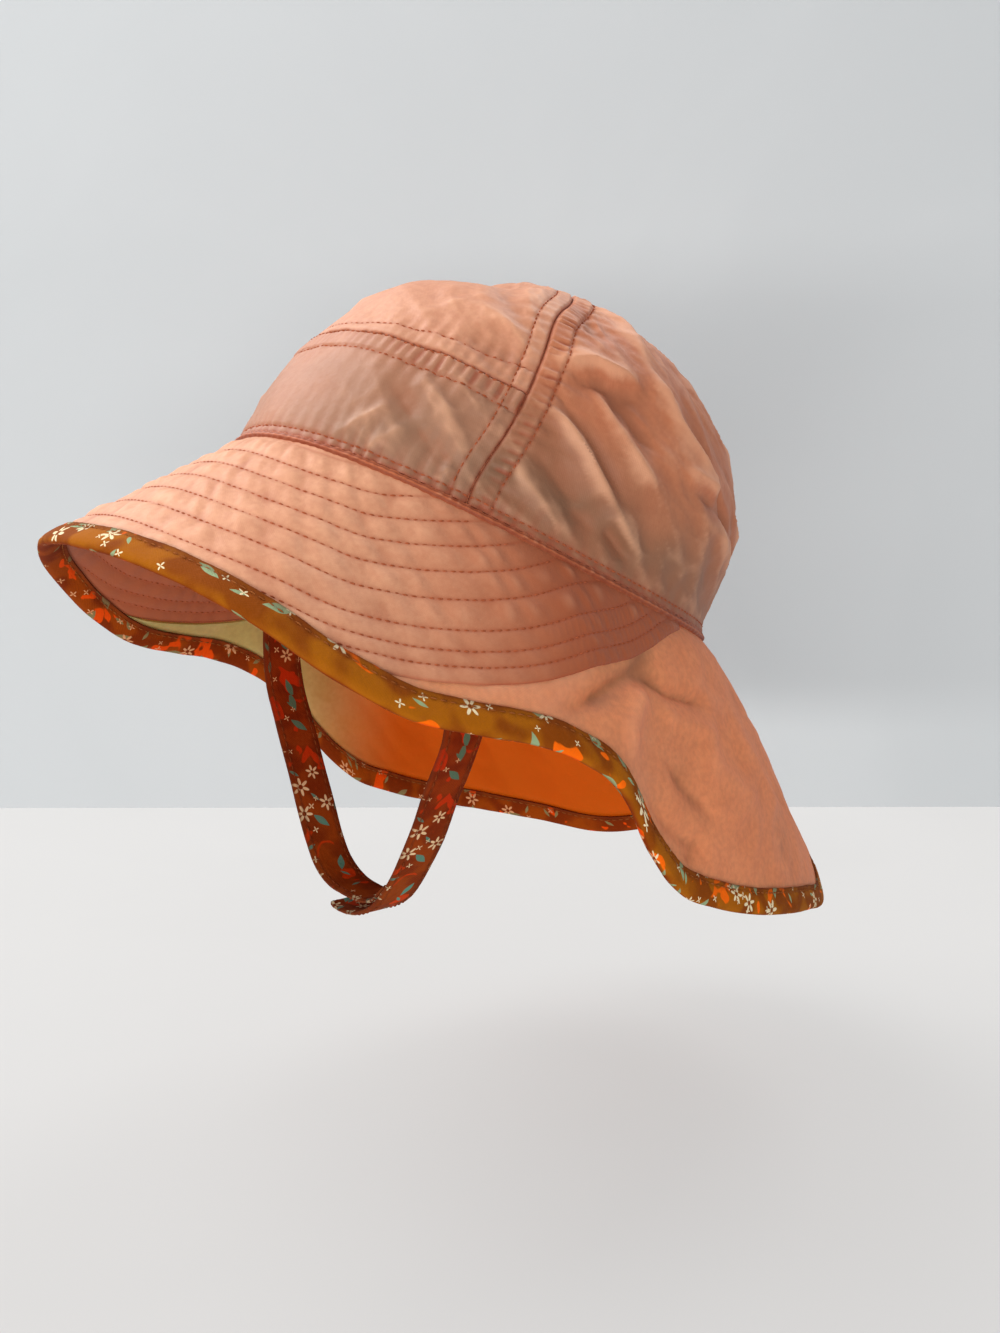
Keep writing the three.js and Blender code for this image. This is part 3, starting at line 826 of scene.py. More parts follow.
def crown_welt(name, across, up):
    """Rolled seam allowance that stands up where crown and brim meet."""
    piece = laid_grid(name, across, up)
    mesh = piece.data
    s, t = clamp(read_points(mesh)[:, :2].T + 0.5)
    deg = 180 + 360 * s
    up_axis = lean(0.0, 0.0, 1.0)
    out = square_to(ahead_of(deg), up_axis)
    turn = 2 * math.pi * t
    u = np.radians(deg) * WELT_ROUND
    groove = math.radians(40)
    puff = 0.26 * pucker(u, turn * 2, 3.1, 51) + 0.14 * drift(u, turn, 14, 52)
    radius = 1.5 - 0.4 * dip(turn, groove, 0.28) + puff * (0.4 + 0.6 * np.sin(turn / 2) ** 2)
    where = seam_point(deg) + out * (radius * np.cos(turn) - 0.4)[..., None]
    write_points(mesh, where + up_axis * (radius * 0.92 * np.sin(turn))[..., None])
    write_cloth_map(mesh, u, turn * 1.8)
    # Painted shade: three dark lines round the roll, one in its groove; its puffs painted lighter and its
    # sunken tucks darker.
    lines = dip(turn, groove, 0.3) + dip(turn, math.radians(118), 0.4)
    lines += dip(turn, math.radians(338), 0.45)
    write_mask(mesh, "ditch", clamp(lines))
    write_mask(mesh, "wear", 0.5 + 0.5 * puff)
    finish_mesh(piece)
    return piece


def run_lengths(line):
    """Length along a line at each of its points."""
    return np.concatenate([[0], np.cumsum(np.linalg.norm(np.diff(line, axis=0), axis=1))])


def strap_line(rows, share):
    """Centre, width and face of a strap at shares of its length, the lengths there and the whole."""
    table = np.array(rows, dtype=float)
    steps = run_lengths(table[:, :3])
    keyed = np.column_stack([steps, table])
    at = share * steps[-1]
    e = 0.4

    def centre(at):
        return np.stack([smooth(keyed, c, at, True) for c in (1, 2, 3)], axis=-1)
    run = unit(centre(np.clip(at + e, 0, steps[-1])) - centre(np.clip(at - e, 0, steps[-1])))
    turn = np.radians(smooth(keyed, 4, at, True))
    wide = square_to(points(np.sin(turn), np.cos(turn), 0.0), run)
    return centre(at), wide, unit(np.cross(run, wide)), at, steps[-1]


def strap_tape(name, rows, grid):
    def place(s, t):
        centre, wide, face, at, total = strap_line(rows, s)
        w = (t - 0.5) * STRAP_WIDTH
        edge = STRAP_WIDTH / 2 - np.abs(w)
        w = w * (0.86 + 0.14 * np.sqrt(clamp((total - at) / 3.0)))
        swell = 0.16 * drift(at, w, 16, 61) + 0.1 * pucker(at, w, 4.0, 62) * dip(edge, STRAP_STITCH, 1.2)
        swell -= 0.25 * (w / STRAP_WIDTH * 2) ** 2
        half = 0.6 + 0.16 * plateau(edge, 0.2, 2.6) - 0.22 * dip(edge, STRAP_STITCH, 0.5)
        half -= 0.35 * np.exp(-edge / 0.5)
        middle = centre + wide * w[..., None]
        top, under = (middle + face * (swell + way * half)[..., None] for way in (1, -1))
        # Painted shade along its edges and stitch lines, and its upper part painted darker and redder
        # where the hat shades it.
        ditch = clamp(dip(edge, STRAP_STITCH, 0.6) * 0.7 + dip(edge, 0, 0.5))
        return top, under, at, w, {"ditch": ditch, "shade": 1 - step_up(at / total, 0.6, 0.6)}
    return sewn_cloth(name, grid, place)


def sampled(rows, at, where):
    """Rows of X, Y and Z, known at some lengths, read at others."""
    return np.stack([np.interp(where, at, rows[:, c]) for c in range(3)], axis=-1)


def stitching(name, runs, long, thick):
    """Rows of stitches as one piece: a grain of thread, modelled once and copied along the runs.

    A run is its points and normals, close together, and its pitch.
    """
    select_nothing()
    bpy.ops.mesh.primitive_uv_sphere_add(segments=6, ring_count=4, radius=0.5, calc_uvs=False)
    piece = named(bpy.context.object, name)
    edit_all(piece)
    bpy.ops.transform.rotate(value=math.radians(90), orient_axis="Y", center_override=(0, 0, 0))
    bpy.ops.transform.resize(value=(long, thick, thick), center_override=(0, 0, 0))
    bpy.ops.object.mode_set(mode="OBJECT")
    grain = read_points(piece.data)
    grain[:, 2] -= 0.35 * thick * (np.abs(grain[:, 0]) / long * 2) ** 2
    where = []
    for line, normal, pitch in runs:
        at = run_lengths(line)
        mids = np.arange(pitch * 0.6, at[-1] - pitch * 0.5, pitch)
        centre = sampled(line, at, mids)
        run = unit(sampled(line, at, mids + 0.4) - centre)
        face = square_to(unit(sampled(normal, at, mids)), run)
        axes = np.stack([run, np.cross(face, run), face], axis=1)
        where.append((centre[:, None, :] + grain @ axes).reshape(-1, 3))
    where = np.concatenate(where)
    copies = piece.modifiers.new("copies", "ARRAY")
    copies.count = len(where) // len(grain)
    bpy.ops.object.modifier_apply(modifier=copies.name)
    write_points(piece.data, where)
    bpy.ops.object.shade_smooth()
    return piece


def surface_run(surface, deg, along, lift, pitch=CLOTH_PITCH, way=1):
    return laid(surface, deg, along, lift), outward(surface, deg, along) * way, pitch


def brim_stitch_runs(lift_of, way):
    runs = []
    deg = np.linspace(-BRIM_TIP_DEG, BRIM_TIP_DEG, 700)
    for row in QUILT_ROWS[1:-1]:
        out = smooth(BRIM_ROWS, 1, side(deg)) - row
        shown = (out > 3.2) & (skirt_width(deg) - out > BINDING_WIDTH + 0.8)
        for part in np.split(np.arange(700), np.flatnonzero(np.diff(shown.astype(int))) + 1):
            if len(part) > 8 and shown[part[0]]:
                lift = lift_of(deg[part], out[part]) + way * 0.12
                runs.append(surface_run(skirt_point, deg[part], out[part], lift, CLOTH_PITCH, way))
    return runs


def crown_stitch_runs():
    lines = []
    along = np.linspace(5.0, CROWN_SIDE - 6.0, 400)
    along = along[crown_reach(along) > 12]
    for way in (1, -1):
        for seam, gap in ((PANEL_SEAM_DEG, SIDE_STITCH), (PANEL_SEAM_DEG, -FRONT_STITCH),
                          (180, -SIDE_STITCH)):
            lines.append((way * (seam + np.degrees(gap / crown_reach(along))), along))
    deg = np.linspace(-PANEL_SEAM_DEG + 1.5, PANEL_SEAM_DEG - 1.5, 400)
    for gap in (topstitch_gap(deg), -CROSS_EDGE_STITCH, -CROSS_STITCH):
        lines.append((deg, front_seam(deg) + gap))
    deg = np.linspace(-180, 180, 1200)
    lines.append((deg, np.full_like(deg, CROWN_CLEAR + FOOT_STITCH)))
    return [surface_run(crown_point, deg, along, crown_lift(deg, along) + 0.1) for deg, along in lines]


def binding_stitch_runs():
    deg = np.linspace(-180, 180, 1400)
    out = skirt_width(deg) - BINDING_WIDTH + TAPE_STITCH
    return [surface_run(skirt_point, deg, out, np.full_like(deg, lift), TAPE_PITCH, way)
            for lift, way in ((0.62, 1), (-2.52, -1))]


def strap_stitch_runs(rows):
    centre, wide, face, _, _ = strap_line(rows, np.linspace(0.02, 0.985, 400))
    aside = wide * (STRAP_WIDTH / 2 - STRAP_STITCH)
    return [(centre + aside * edge + face * (0.55 * way), face * way, TAPE_PITCH)
            for edge in (-1, 1) for way in (-1, 1)]


# Node tools
def feed(tree, socket, value):
    """Links a socket to another one or gives it a plain value; a colour is given as three numbers."""
    if isinstance(value, bpy.types.NodeSocket):
        tree.links.new(value, socket)
    elif socket.type == "RGBA":
        socket.default_value = (*value, 1.0)
    else:
        socket.default_value = value


def put(tree, kind, **values):
    """Adds a node. A value named in_ with an input's name is the input's; any other is the node's own."""
    made = tree.nodes.new("ShaderNode" + kind)
    for key, value in values.items():
        if key.startswith("in_"):
            name = key[3:].replace("_", " ")
            feed(tree, made.inputs[int(name) if name.isdigit() else name], value)
        else:
            setattr(made, key, value)
    return made


def sums(tree, operation, *values):
    made = put(tree, "Math", operation=operation)
    for socket, value in zip(made.inputs, values):
        feed(tree, socket, value)
    return made.outputs[0]


def times(tree, first, second):
    return sums(tree, "MULTIPLY", first, second)


def vector_sum(tree, operation, first, **values):
    return put(tree, "VectorMath", operation=operation, in_0=first, **values).outputs[0]


def blend_colour(tree, share, first, second, how="MIX"):
    return put(tree, "Mix", data_type="RGBA", blend_type=how, in_0=share, in_6=first,
               in_7=second).outputs[2]


def stretch(tree, value, low, high, to_low=0.0, to_high=1.0):
    return put(tree, "MapRange", interpolation_type="SMOOTHSTEP", in_0=value, in_1=low,
               in_2=high, in_3=to_low, in_4=to_high).outputs[0]


def read_mask(tree, name):
    return put(tree, "Attribute", attribute_name=name).outputs["Fac"]


def new_group(name, inputs, outputs):
    group = bpy.data.node_groups.new(name, "ShaderNodeTree")
    for way, sockets in (("INPUT", inputs), ("OUTPUT", outputs)):
        for label, kind in sockets.items():
            group.interface.new_socket(name=label, in_out=way, socket_type="NodeSocket" + kind)
    return group, group.nodes.new("NodeGroupInput").outputs, group.nodes.new("NodeGroupOutput").inputs


def make_woven_cloth():
    """Plain weave: thread height and a mask of the sunken crossings."""
    group, given, result = new_group("woven cloth", {"Vector": "Vector", "Threads": "Float"},
                                     {"Height": "Float", "Crossings": "Float"})
    split = put(group, "SeparateXYZ", in_0=given["Vector"])
    turns = times(group, given["Threads"], math.pi)
    warp = sums(group, "SINE", times(group, split.outputs[0], turns))
    weft = sums(group, "SINE", times(group, split.outputs[1], turns))
    height = times(group, warp, weft)
    group.links.new(height, result["Height"])
    group.links.new(stretch(group, height, -1.0, -0.2, 1.0, 0.0), result["Crossings"])
    return group


def make_soft_mottle():
    """Uneven tone of worn cloth: broad patches with finer ones over them."""
    group, given, result = new_group("soft mottle", {"Vector": "Vector", "Scale": "Float"},
                                     {"Patches": "Float", "Grain": "Float"})
    broad = put(group, "TexNoise", in_Vector=given["Vector"], in_Scale=given["Scale"],
                in_Detail=3.0, in_Distortion=0.6)
    group.links.new(stretch(group, broad.outputs["Fac"], 0.34, 0.66), result["Patches"])
    fine = put(group, "TexNoise", in_Vector=given["Vector"], in_Detail=2.0,
               in_Scale=times(group, given["Scale"], 9.0))
    group.links.new(fine.outputs["Fac"], result["Grain"])
    return group


def scatter(group, vector, scale, shift, randomness):
    """Cells of scattered motifs: way and distance from the middle of each, its chances and its turn."""
    place = vector_sum(group, "SCALE", vector, in_Scale=scale)
    place = vector_sum(group, "ADD", place, in_1=shift)
    cells = put(group, "TexVoronoi", voronoi_dimensions="2D", in_Vector=place, in_Scale=1.0,
                in_Randomness=randomness)
    away = vector_sum(group, "SUBTRACT", place, in_1=cells.outputs["Position"])
    chance = put(group, "SeparateColor", in_0=cells.outputs["Color"]).outputs
    return away, cells.outputs["Distance"], chance, times(group, chance[0], 6.28)


def petal_field(group, vector, scale, count, reach, share, depth):
    """Mask of scattered flowers with count petals, and of their centres, in a share of the cells."""
    away, far, chance, turn = scatter(group, vector, scale, (0.0, 0.0, 0.0), 0.8)
    split = put(group, "SeparateXYZ", in_0=away)
    angle = sums(group, "ADD", sums(group, "ARCTAN2", split.outputs[1], split.outputs[0]), turn)
    wave = sums(group, "COSINE", times(group, angle, float(count)))
    size = sums(group, "MULTIPLY_ADD", chance[1], 0.35, 0.75)
    rim = times(group, sums(group, "MULTIPLY_ADD", wave, reach * depth, reach * (1 - depth)), size)
    chosen = sums(group, "LESS_THAN", chance[2], share)
    shapes = []
    for edge, soft in ((rim, 0.12), (times(group, size, reach * 0.3), 0.1)):
        inside = stretch(group, sums(group, "SUBTRACT", edge, far), 0.0, reach * soft)
        shapes.append(times(group, inside, chosen))
    return shapes


def leaf_field(group, vector, scale, long, thin, share):
    """Mask of scattered leaves: narrow ovals turned at random."""
    away, _, chance, turn = scatter(group, vector, scale, (3.7, 8.1, 0.0), 1.0)
    turned = put(group, "VectorRotate", rotation_type="Z_AXIS", in_Vector=away, in_Angle=turn)
    split = put(group, "SeparateXYZ", in_0=turned.outputs[0])
    length, width = (sums(group, "ABSOLUTE", sums(group, "DIVIDE", split.outputs[axis], size))
                     for axis, size in enumerate((long, thin)))
    inside = stretch(group, sums(group, "ADD", sums(group, "POWER", length, 1.6), width), 1.05, 0.9)
    return times(group, inside, sums(group, "LESS_THAN", chance[1], share))


def make_flower_print():
    """A common small floral print: blotched ground, leaves, daisies and sprigs."""
    colours = dict.fromkeys(("Ground", "Ground Dark", "Blotch", "Leaf", "Petal"), "Color")
    group, given, result = new_group("flower print", {"Vector": "Vector", **colours}, {"Color": "Color"})
    vector = given["Vector"]
    broad = put(group, "TexNoise", in_Vector=vector, in_Scale=110.0, in_Detail=1.0)
    colour = blend_colour(group, stretch(group, broad.outputs["Fac"], 0.4, 0.6), given["Ground Dark"],
                          given["Ground"])
    orange = put(group, "TexNoise", in_Vector=vector, in_Scale=95.0, in_Detail=1.5,
                 in_Distortion=1.2)
    daisy, heart = petal_field(group, vector, 92.0, 6, 0.3, 0.4, 0.36)
    sprig, _ = petal_field(group, vector, 205.0, 4, 0.26, 0.2, 0.6)
    for share, over in ((stretch(group, orange.outputs["Fac"], 0.62, 0.65), "Blotch"),
                        (leaf_field(group, vector, 105.0, 0.36, 0.13, 0.38), "Leaf"),
                        (leaf_field(group, vector, 170.0, 0.34, 0.1, 0.3), "Leaf"),
                        (daisy, "Petal"), (heart, "Ground Dark"), (sprig, "Petal")):
        colour = blend_colour(group, share, colour, given[over])
    group.links.new(colour, result["Color"])
    return group


WOVEN_CLOTH = make_woven_cloth()
SOFT_MOTTLE = make_soft_mottle()
FLOWER_PRINT = make_flower_print()

# Colours of painted highlight and shade on nylon, of worn tape and of painted shade on tape
NYLON_PAINTED_HIGHLIGHT = (0.95, 0.52, 0.31)
NYLON_PAINTED_CREASE_SHADE = (0.37, 0.13, 0.06)
WORN_TAPE = (0.36, 0.1, 0.02)
SHADED_TAPE = (0.82, 0.45, 0.33)
TAPE_GROOVE_SHADE = (0.1, 0.02, 0.006)


def start_material(name, roughness, sheen, gloss=0.3):
    material = bpy.data.materials.new(name)
    material.use_nodes = True
    tree = material.node_tree
    tree.nodes.clear()
    surface = put(tree, "BsdfPrincipled", in_Roughness=roughness, in_Sheen_Weight=sheen,
                  in_Sheen_Roughness=0.5, in_Specular_IOR_Level=gloss)
    return material, tree, surface


def mottled(tree, scale):
    place = put(tree, "TexCoord").outputs["Object"]
    return put(tree, "Group", node_tree=SOFT_MOTTLE, in_Vector=place, in_Scale=scale).outputs


def woven(tree, threads):
    cloth = put(tree, "UVMap", uv_map="cloth").outputs[0]
    weave = put(tree, "Group", node_tree=WOVEN_CLOTH, in_Vector=cloth, in_Threads=threads)
    return cloth, weave.outputs


def end_material(tree, surface, colour, height, glow, thin, depth=0.00012):
    """Joins colour, bump and the light that comes through thin cloth."""
    bump = put(tree, "Bump", in_Height=height, in_Strength=1.0, in_Distance=depth).outputs[0]
    feed(tree, surface.inputs["Base Color"], colour)
    feed(tree, surface.inputs["Normal"], bump)
    through = put(tree, "BsdfTranslucent", in_Normal=bump,
                  in_Color=blend_colour(tree, 1.0, colour, glow, "MULTIPLY"))
    mix = put(tree, "MixShader", in_0=thin, in_1=surface.outputs[0], in_2=through.outputs[0])
    put(tree, "OutputMaterial", in_Surface=mix.outputs[0])


def nylon(name, light, deep, ditch, thin=0.2, shade=(0.5, 0.26, 0.15), glow=(1.0, 0.62, 0.36), gloss=0.4):
    """Thin plain-woven nylon: uneven tone and darker grain, with painted shade (a painted glow on the
    lining), painted highlights and crease shade, and painted shade in its grooves and sunken weave
    crossings.
    """
    material, tree, surface = start_material(name, 0.56, 0.04, gloss)
    _, weave = woven(tree, 3000.0)
    mottling = mottled(tree, 60.0)
    wear = read_mask(tree, "wear")
    colour = light
    for share, over in ((mottling["Patches"], deep),
                        (stretch(tree, mottling["Grain"], 0.3, 0.7, 0.0, 0.16), ditch),
                        # Painted shade (a painted glow on the lining), painted highlight and crease
                        # shade, then painted shade in grooves and in the weave's sunken crossings
                        (read_mask(tree, "shade"), shade),
                        (stretch(tree, wear, 0.5, 1.0, 0.0, 0.46), NYLON_PAINTED_HIGHLIGHT),
                        (stretch(tree, wear, 0.0, 0.5, 0.6, 0.0), NYLON_PAINTED_CREASE_SHADE),
                        (times(tree, read_mask(tree, "ditch"), 0.75), ditch),
                        (times(tree, weave["Crossings"], 0.08), ditch)):
        colour = blend_colour(tree, share, colour, over)
    height = sums(tree, "ADD", times(tree, weave["Height"], 0.08), mottling["Grain"])
    end_material(tree, surface, colour, height, glow, thin)
    return material


def printed_tape(name, ground, dark, blotch, leaf, petal):
    """Bias tape with the small floral print."""
    material, tree, surface = start_material(name, 0.8, 0.0, 0.06)
    cloth, weave = woven(tree, 2600.0)
    mottling = mottled(tree, 90.0)
    pattern = put(tree, "Group", node_tree=FLOWER_PRINT, in_Vector=cloth, in_Ground=ground,
                  in_Ground_Dark=dark, in_Blotch=blotch, in_Leaf=leaf, in_Petal=petal).outputs[0]
    # Here only wear: the print shifts towards a worn tone in a random grain.
    wear_and_painted_light = stretch(tree, mottling["Grain"], 0.45, 0.75, 0.0, 0.1)
    colour = blend_colour(tree, wear_and_painted_light, pattern, WORN_TAPE)
    # Painted shade: the binding's underside and the strap's top multiplied darker and redder, then
    # painted shade in grooves along edges and stitch lines.
    colour = blend_colour(tree, read_mask(tree, "shade"), colour, SHADED_TAPE, "MULTIPLY")
    colour = blend_colour(tree, times(tree, read_mask(tree, "ditch"), 0.7), colour, TAPE_GROOVE_SHADE)
    height = sums(tree, "ADD", times(tree, weave["Height"], 0.14), mottling["Grain"])
    end_material(tree, surface, colour, height, (1.0, 0.5, 0.3), 0.06, 0.00018)
    return material


def thread(name, light, deep):
    material, tree, surface = start_material(name, 0.9, 0.0, 0.1)
    mottling = mottled(tree, 400.0)
    colour = blend_colour(tree, mottling["Patches"], light, deep)
    end_material(tree, surface, colour, mottling["Grain"], (1.0, 0.6, 0.4), 0.05, 0.00005)
    return material


def plain_paint(name, light, deep, lit=0.0):
    """Painted wall or table top: nearly even, with a faint grain."""
    material, tree, surface = start_material(name, 0.8, 0.0)
    colour = blend_colour(tree, mottled(tree, 4.0)["Patches"], light, deep)
    feed(tree, surface.inputs["Base Color"], colour)
    feed(tree, surface.inputs["Emission Color"], (1.0, 0.985, 0.97))
    feed(tree, surface.inputs["Emission Strength"], lit)
    put(tree, "OutputMaterial", in_Surface=surface.outputs[0])
    return material


# The room, in metres; a window is its name, place, size, power and colour
CAMERA_SPOT = (0.3531, -0.2603)
TABLE_HEIGHT = -0.19
DAYLIGHT = (1.0, 0.99, 0.97)
WINDOWS = [
    ("high_window", (-1.15, -0.3, 1.0), (1.1, 0.9), 14, DAYLIGHT),
    ("top_window", (-0.6, -0.6, 1.3), (1.0, 1.0), 19, DAYLIGHT),
    ("back_window", (-0.3, 1.1, 1.3), (0.9, 0.7), 11, DAYLIGHT),
    ("front_window", (0.9, -1.1, -0.1), (1.3, 0.15), 14, (1.0, 0.98, 0.95)),
]


# Camera, from the photograph
def add_camera():
    data = bpy.data.cameras.new("photo_camera")
    camera = bpy.data.objects.new("photo_camera", data)
    bpy.context.collection.objects.link(camera)
    right = (0.60983, 0.79250, -0.00843)
    up = (-0.12249, 0.10481, 0.98692)
    back = (0.78301, -0.60082, 0.16099)
    turn = Matrix((right, up, back)).transposed()
    camera.matrix_world = Matrix.Translation((*CAMERA_SPOT, 0.0358)) @ turn.to_4x4()
    data.sensor_fit = "VERTICAL"
    data.sensor_height = 32.0
    data.lens = 32.43
    data.clip_start = 0.01
    bpy.context.scene.camera = camera


def add_window(name, where, size, power, colour):
    """Soft rectangular light that faces the hat."""
    data = bpy.data.lights.new(name, "AREA")
    data.shape = "RECTANGLE"
    data.size, data.size_y = size
    data.energy = power
    data.color = colour
    lamp = bpy.data.objects.new(name, data)
    bpy.context.collection.objects.link(lamp)
    look = (-Vector(where)).to_track_quat("-Z", "Y").to_matrix()
    lamp.matrix_world = Matrix.Translation(where) @ look.to_4x4()


def add_plane(name, corners, finish):
    select_nothing()
    bpy.ops.mesh.primitive_grid_add(x_subdivisions=8, y_subdivisions=8, size=1)
    plane = bpy.context.object
    plane.name = name
    flat = read_points(plane.data)
    s = flat[:, 0:1] + 0.5
    t = flat[:, 1:2] + 0.5
    a, b, c, d = (np.array(p, dtype=float) for p in corners)
    where = (a * (1 - s) + b * s) * (1 - t) + (d * (1 - s) + c * s) * t
    plane.data.vertices.foreach_set("co", where.astype(np.float32).ravel())
    plane.data.materials.append(finish)
    return plane


def add_room():
    """Table top and back wall, square to the camera, four windows and an even sky."""
    view = np.array([-0.793, 0.609])
    across = np.array([0.609, 0.793])
    start = np.array(CAMERA_SPOT) + view * 0.83
    left = start - across * 2.2 + view * 0.06
    right = start + across * 2.2 - view * 0.06
    front = start - view * 3
    ends = (front - across * 3, front + across * 3, right + view * 0.2, left + view * 0.2)
    add_plane("table_top", [(*end, TABLE_HEIGHT) for end in ends],
              plain_paint("table paint", (0.14, 0.14, 0.14), (0.13, 0.13, 0.13), 0.54))
    corners = [(*left, TABLE_HEIGHT), (*right, TABLE_HEIGHT), (*right, 0.3), (*left, 0.3)]
    wall = add_plane("back_wall", corners,
                     plain_paint("wall paint", (0.58, 0.605, 0.62), (0.56, 0.585, 0.6)))
    wall.visible_shadow = False
    world = bpy.data.worlds.new("soft_room")
    world.use_nodes = True
    sky = world.node_tree.nodes["Background"]
    sky.inputs["Color"].default_value = (0.95, 0.97, 1.0, 1)
    sky.inputs["Strength"].default_value = 0.5
    bpy.context.scene.world = world
    for window in WINDOWS:
        add_window(*window)
    bpy.context.scene.view_settings.view_transform = "Standard"
    bpy.context.scene.view_settings.look = "Medium Contrast"


add_camera()
add_room()

# The cloths: light and deep colours, then the colour of their painted groove shade. One salmon nylon is
# made as lit and shaded copies: the lower front and the sides painted darker, the flap painted brighter
# as if lit through, and the welt painted darker as if in shade.
GROOVE_SHADE_NYLON = (0.34, 0.06, 0.02)
SALMON_UPPER = nylon("upper nylon", (0.67, 0.31, 0.175), (0.63, 0.28, 0.155), GROOVE_SHADE_NYLON)
SALMON_LOWER_PAINTED_DARKER = nylon("lower nylon", (0.56, 0.235, 0.125), (0.52, 0.21, 0.11), GROOVE_SHADE_NYLON,
                     shade=(0.32, 0.165, 0.095))
SALMON_SIDE_PAINTED_DARKER = nylon("side nylon", (0.58, 0.205, 0.092), (0.54, 0.18, 0.08), GROOVE_SHADE_NYLON,
                    shade=(0.24, 0.115, 0.06))
SALMON_BRIM = nylon("brim nylon", (0.67, 0.32, 0.182), (0.63, 0.29, 0.162), GROOVE_SHADE_NYLON, thin=0.08,
                    shade=(0.35, 0.085, 0.03), gloss=0.2)
SALMON_FLAP_PAINTED_BRIGHTER = nylon("flap nylon", (0.98, 0.46, 0.2), (0.94, 0.42, 0.18), GROOVE_SHADE_NYLON, thin=0.5)
KHAKI_LINING = nylon("lining cloth", (0.66, 0.56, 0.22), (0.62, 0.52, 0.18), (0.3, 0.16, 0.04), 0.5,
                     (0.74, 0.15, 0.002), (1.0, 0.9, 0.6), 0.12)
WELT_PAINTED_DARKER = nylon("welt nylon", (0.5, 0.135, 0.05), (0.42, 0.1, 0.038), (0.16, 0.025, 0.01), thin=0.05,
             gloss=0.2)
PRINTED_EDGE = printed_tape("printed binding", (0.34, 0.1, 0.003), (0.22, 0.048, 0.002),
                            (0.86, 0.13, 0.002), (0.27, 0.36, 0.2), (0.78, 0.66, 0.42))
PRINTED_STRAP = printed_tape("printed strap", (0.27, 0.048, 0.004), (0.19, 0.028, 0.003),
                             (0.52, 0.042, 0.003), (0.1, 0.26, 0.2), (0.78, 0.66, 0.4))
# The salmon thread is a little darker than the cloth, and painted darker still for the shade in its
# stitch pits.
SALMON_THREAD_WITH_PAINTED_SHADE = thread("salmon thread", (0.4, 0.1, 0.04), (0.3, 0.07, 0.025))
RUST_THREAD = thread("rust thread", (0.3, 0.09, 0.02), (0.22, 0.06, 0.012))
STRAP_THREAD = thread("strap thread", (0.2, 0.04, 0.008), (0.15, 0.025, 0.005))


# Where the pieces begin and end
def crown_start(deg):
    return np.full_like(deg, CROWN_CLEAR - 0.6)


def crown_top(deg):
    return np.full_like(deg, CROWN_SIDE - 0.6)


def below_seam(deg):
    return front_seam(deg) - 0.12


def above_seam(deg):
    return front_seam(deg) + 0.12


def brim_foot(deg):
    return np.full_like(deg, SKIRT_CLEAR - 0.4)


def flap_edge(deg):
    return skirt_width(deg) - EDGE_INSET


def flap_under(deg, out):
    return np.minimum(flap_lift(deg, out), 1.6) - FLAP_CLOTH + 0.35 * gripped(deg, out)


def lining_top(deg, out):
    return flap_under(deg, out) - LINING_GAP + 0.1 * gripped(deg, out)


def lining_under(deg, out):
    return lining_top(deg, out) - LINING_CLOTH + 0.4 * gripped(deg, out)


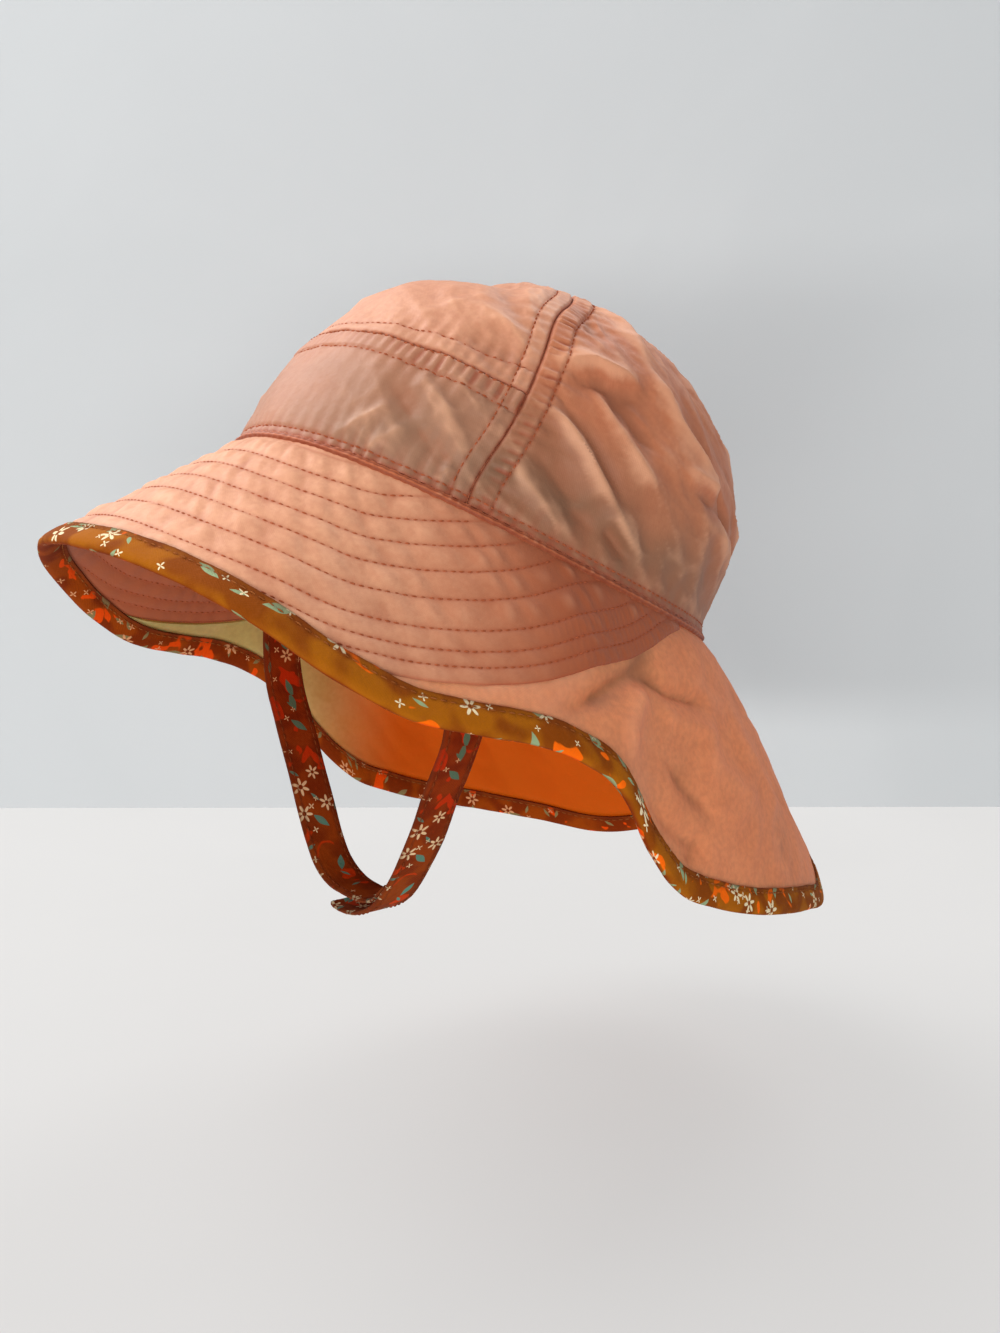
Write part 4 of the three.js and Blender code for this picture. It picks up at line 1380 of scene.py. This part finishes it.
# The pieces, each in place of the CAD node whose name it bears
for node, start, end, grid, near, far, crowd, slot, finish in (
        ("crown_front_lower", -PANEL_SEAM_DEG, PANEL_SEAM_DEG, (190, 70), crown_start, below_seam, 0.3,
         "nylon_front", SALMON_LOWER_PAINTED_DARKER),
        ("crown_front_upper", -PANEL_SEAM_DEG, PANEL_SEAM_DEG, (190, 130), above_seam, crown_top, 0.3,
         "nylon_upper", SALMON_UPPER),
        ("crown_side_left", PANEL_SEAM_DEG, 180, (160, 230), crown_start, crown_top, 0.6,
         "nylon_side", SALMON_SIDE_PAINTED_DARKER),
        ("crown_side_right", 180, 360 - PANEL_SEAM_DEG, (160, 230), crown_start, crown_top, 0.6,
         "nylon_side", SALMON_SIDE_PAINTED_DARKER)):
    panel = crown_panel(node + "_cloth", start, end, grid, near, far, crowd)
    belongs(panel, slot, finish, node)
belongs(crown_welt("crown_rolled_seam_cloth", 620, 20), "nylon_side", WELT_PAINTED_DARKER, "crown_rolled_seam")

brim = skirt_layer("brim_quilted_cloth", -BRIM_TIP_DEG, BRIM_TIP_DEG, (440, 106), brim_foot, brim_width,
                   brim_top, brim_under, brim_masks)
belongs(brim, "nylon_brim", SALMON_BRIM, "brim_quilted")
flap = skirt_layer("neck_flap_cloth", FLAP_START_DEG, 360 - FLAP_START_DEG, (360, 70), flap_foot,
                   flap_edge, flap_lift, flap_under, flap_masks)
belongs(flap, "nylon_flap", SALMON_FLAP_PAINTED_BRIGHTER, "neck_flap")
lining = skirt_layer("flap_lining_cloth", FLAP_START_DEG, 360 - FLAP_START_DEG, (360, 70), flap_foot,
                     flap_edge, lining_top, lining_under, lining_masks)
belongs(lining, "lining", KHAKI_LINING, "flap_lining")

belongs(bound_edge("edge_binding_tape", (620, 26)), "printed_binding", PRINTED_EDGE, "edge_binding")
for node, rows in (("chin_strap_left", STRAP_LEFT), ("chin_strap_right", STRAP_RIGHT)):
    belongs(strap_tape(node + "_tape", rows, (190, 16)), "printed_strap", PRINTED_STRAP, node)

# Rows of stitches
brim_runs = brim_stitch_runs(brim_top, 1) + brim_stitch_runs(brim_under, -1)
belongs(stitching("brim_stitching", brim_runs, *CLOTH_GRAIN), "nylon_brim", SALMON_THREAD_WITH_PAINTED_SHADE)
crown_rows = stitching("crown_stitching", crown_stitch_runs(), *CLOTH_GRAIN)
belongs(crown_rows, "nylon_side", SALMON_THREAD_WITH_PAINTED_SHADE)
binding_rows = stitching("binding_stitching", binding_stitch_runs(), *TAPE_GRAIN)
belongs(binding_rows, "printed_binding", RUST_THREAD)
strap_runs = strap_stitch_runs(STRAP_LEFT) + strap_stitch_runs(STRAP_RIGHT)
belongs(stitching("strap_stitching", strap_runs, *TAPE_GRAIN), "printed_strap", STRAP_THREAD)
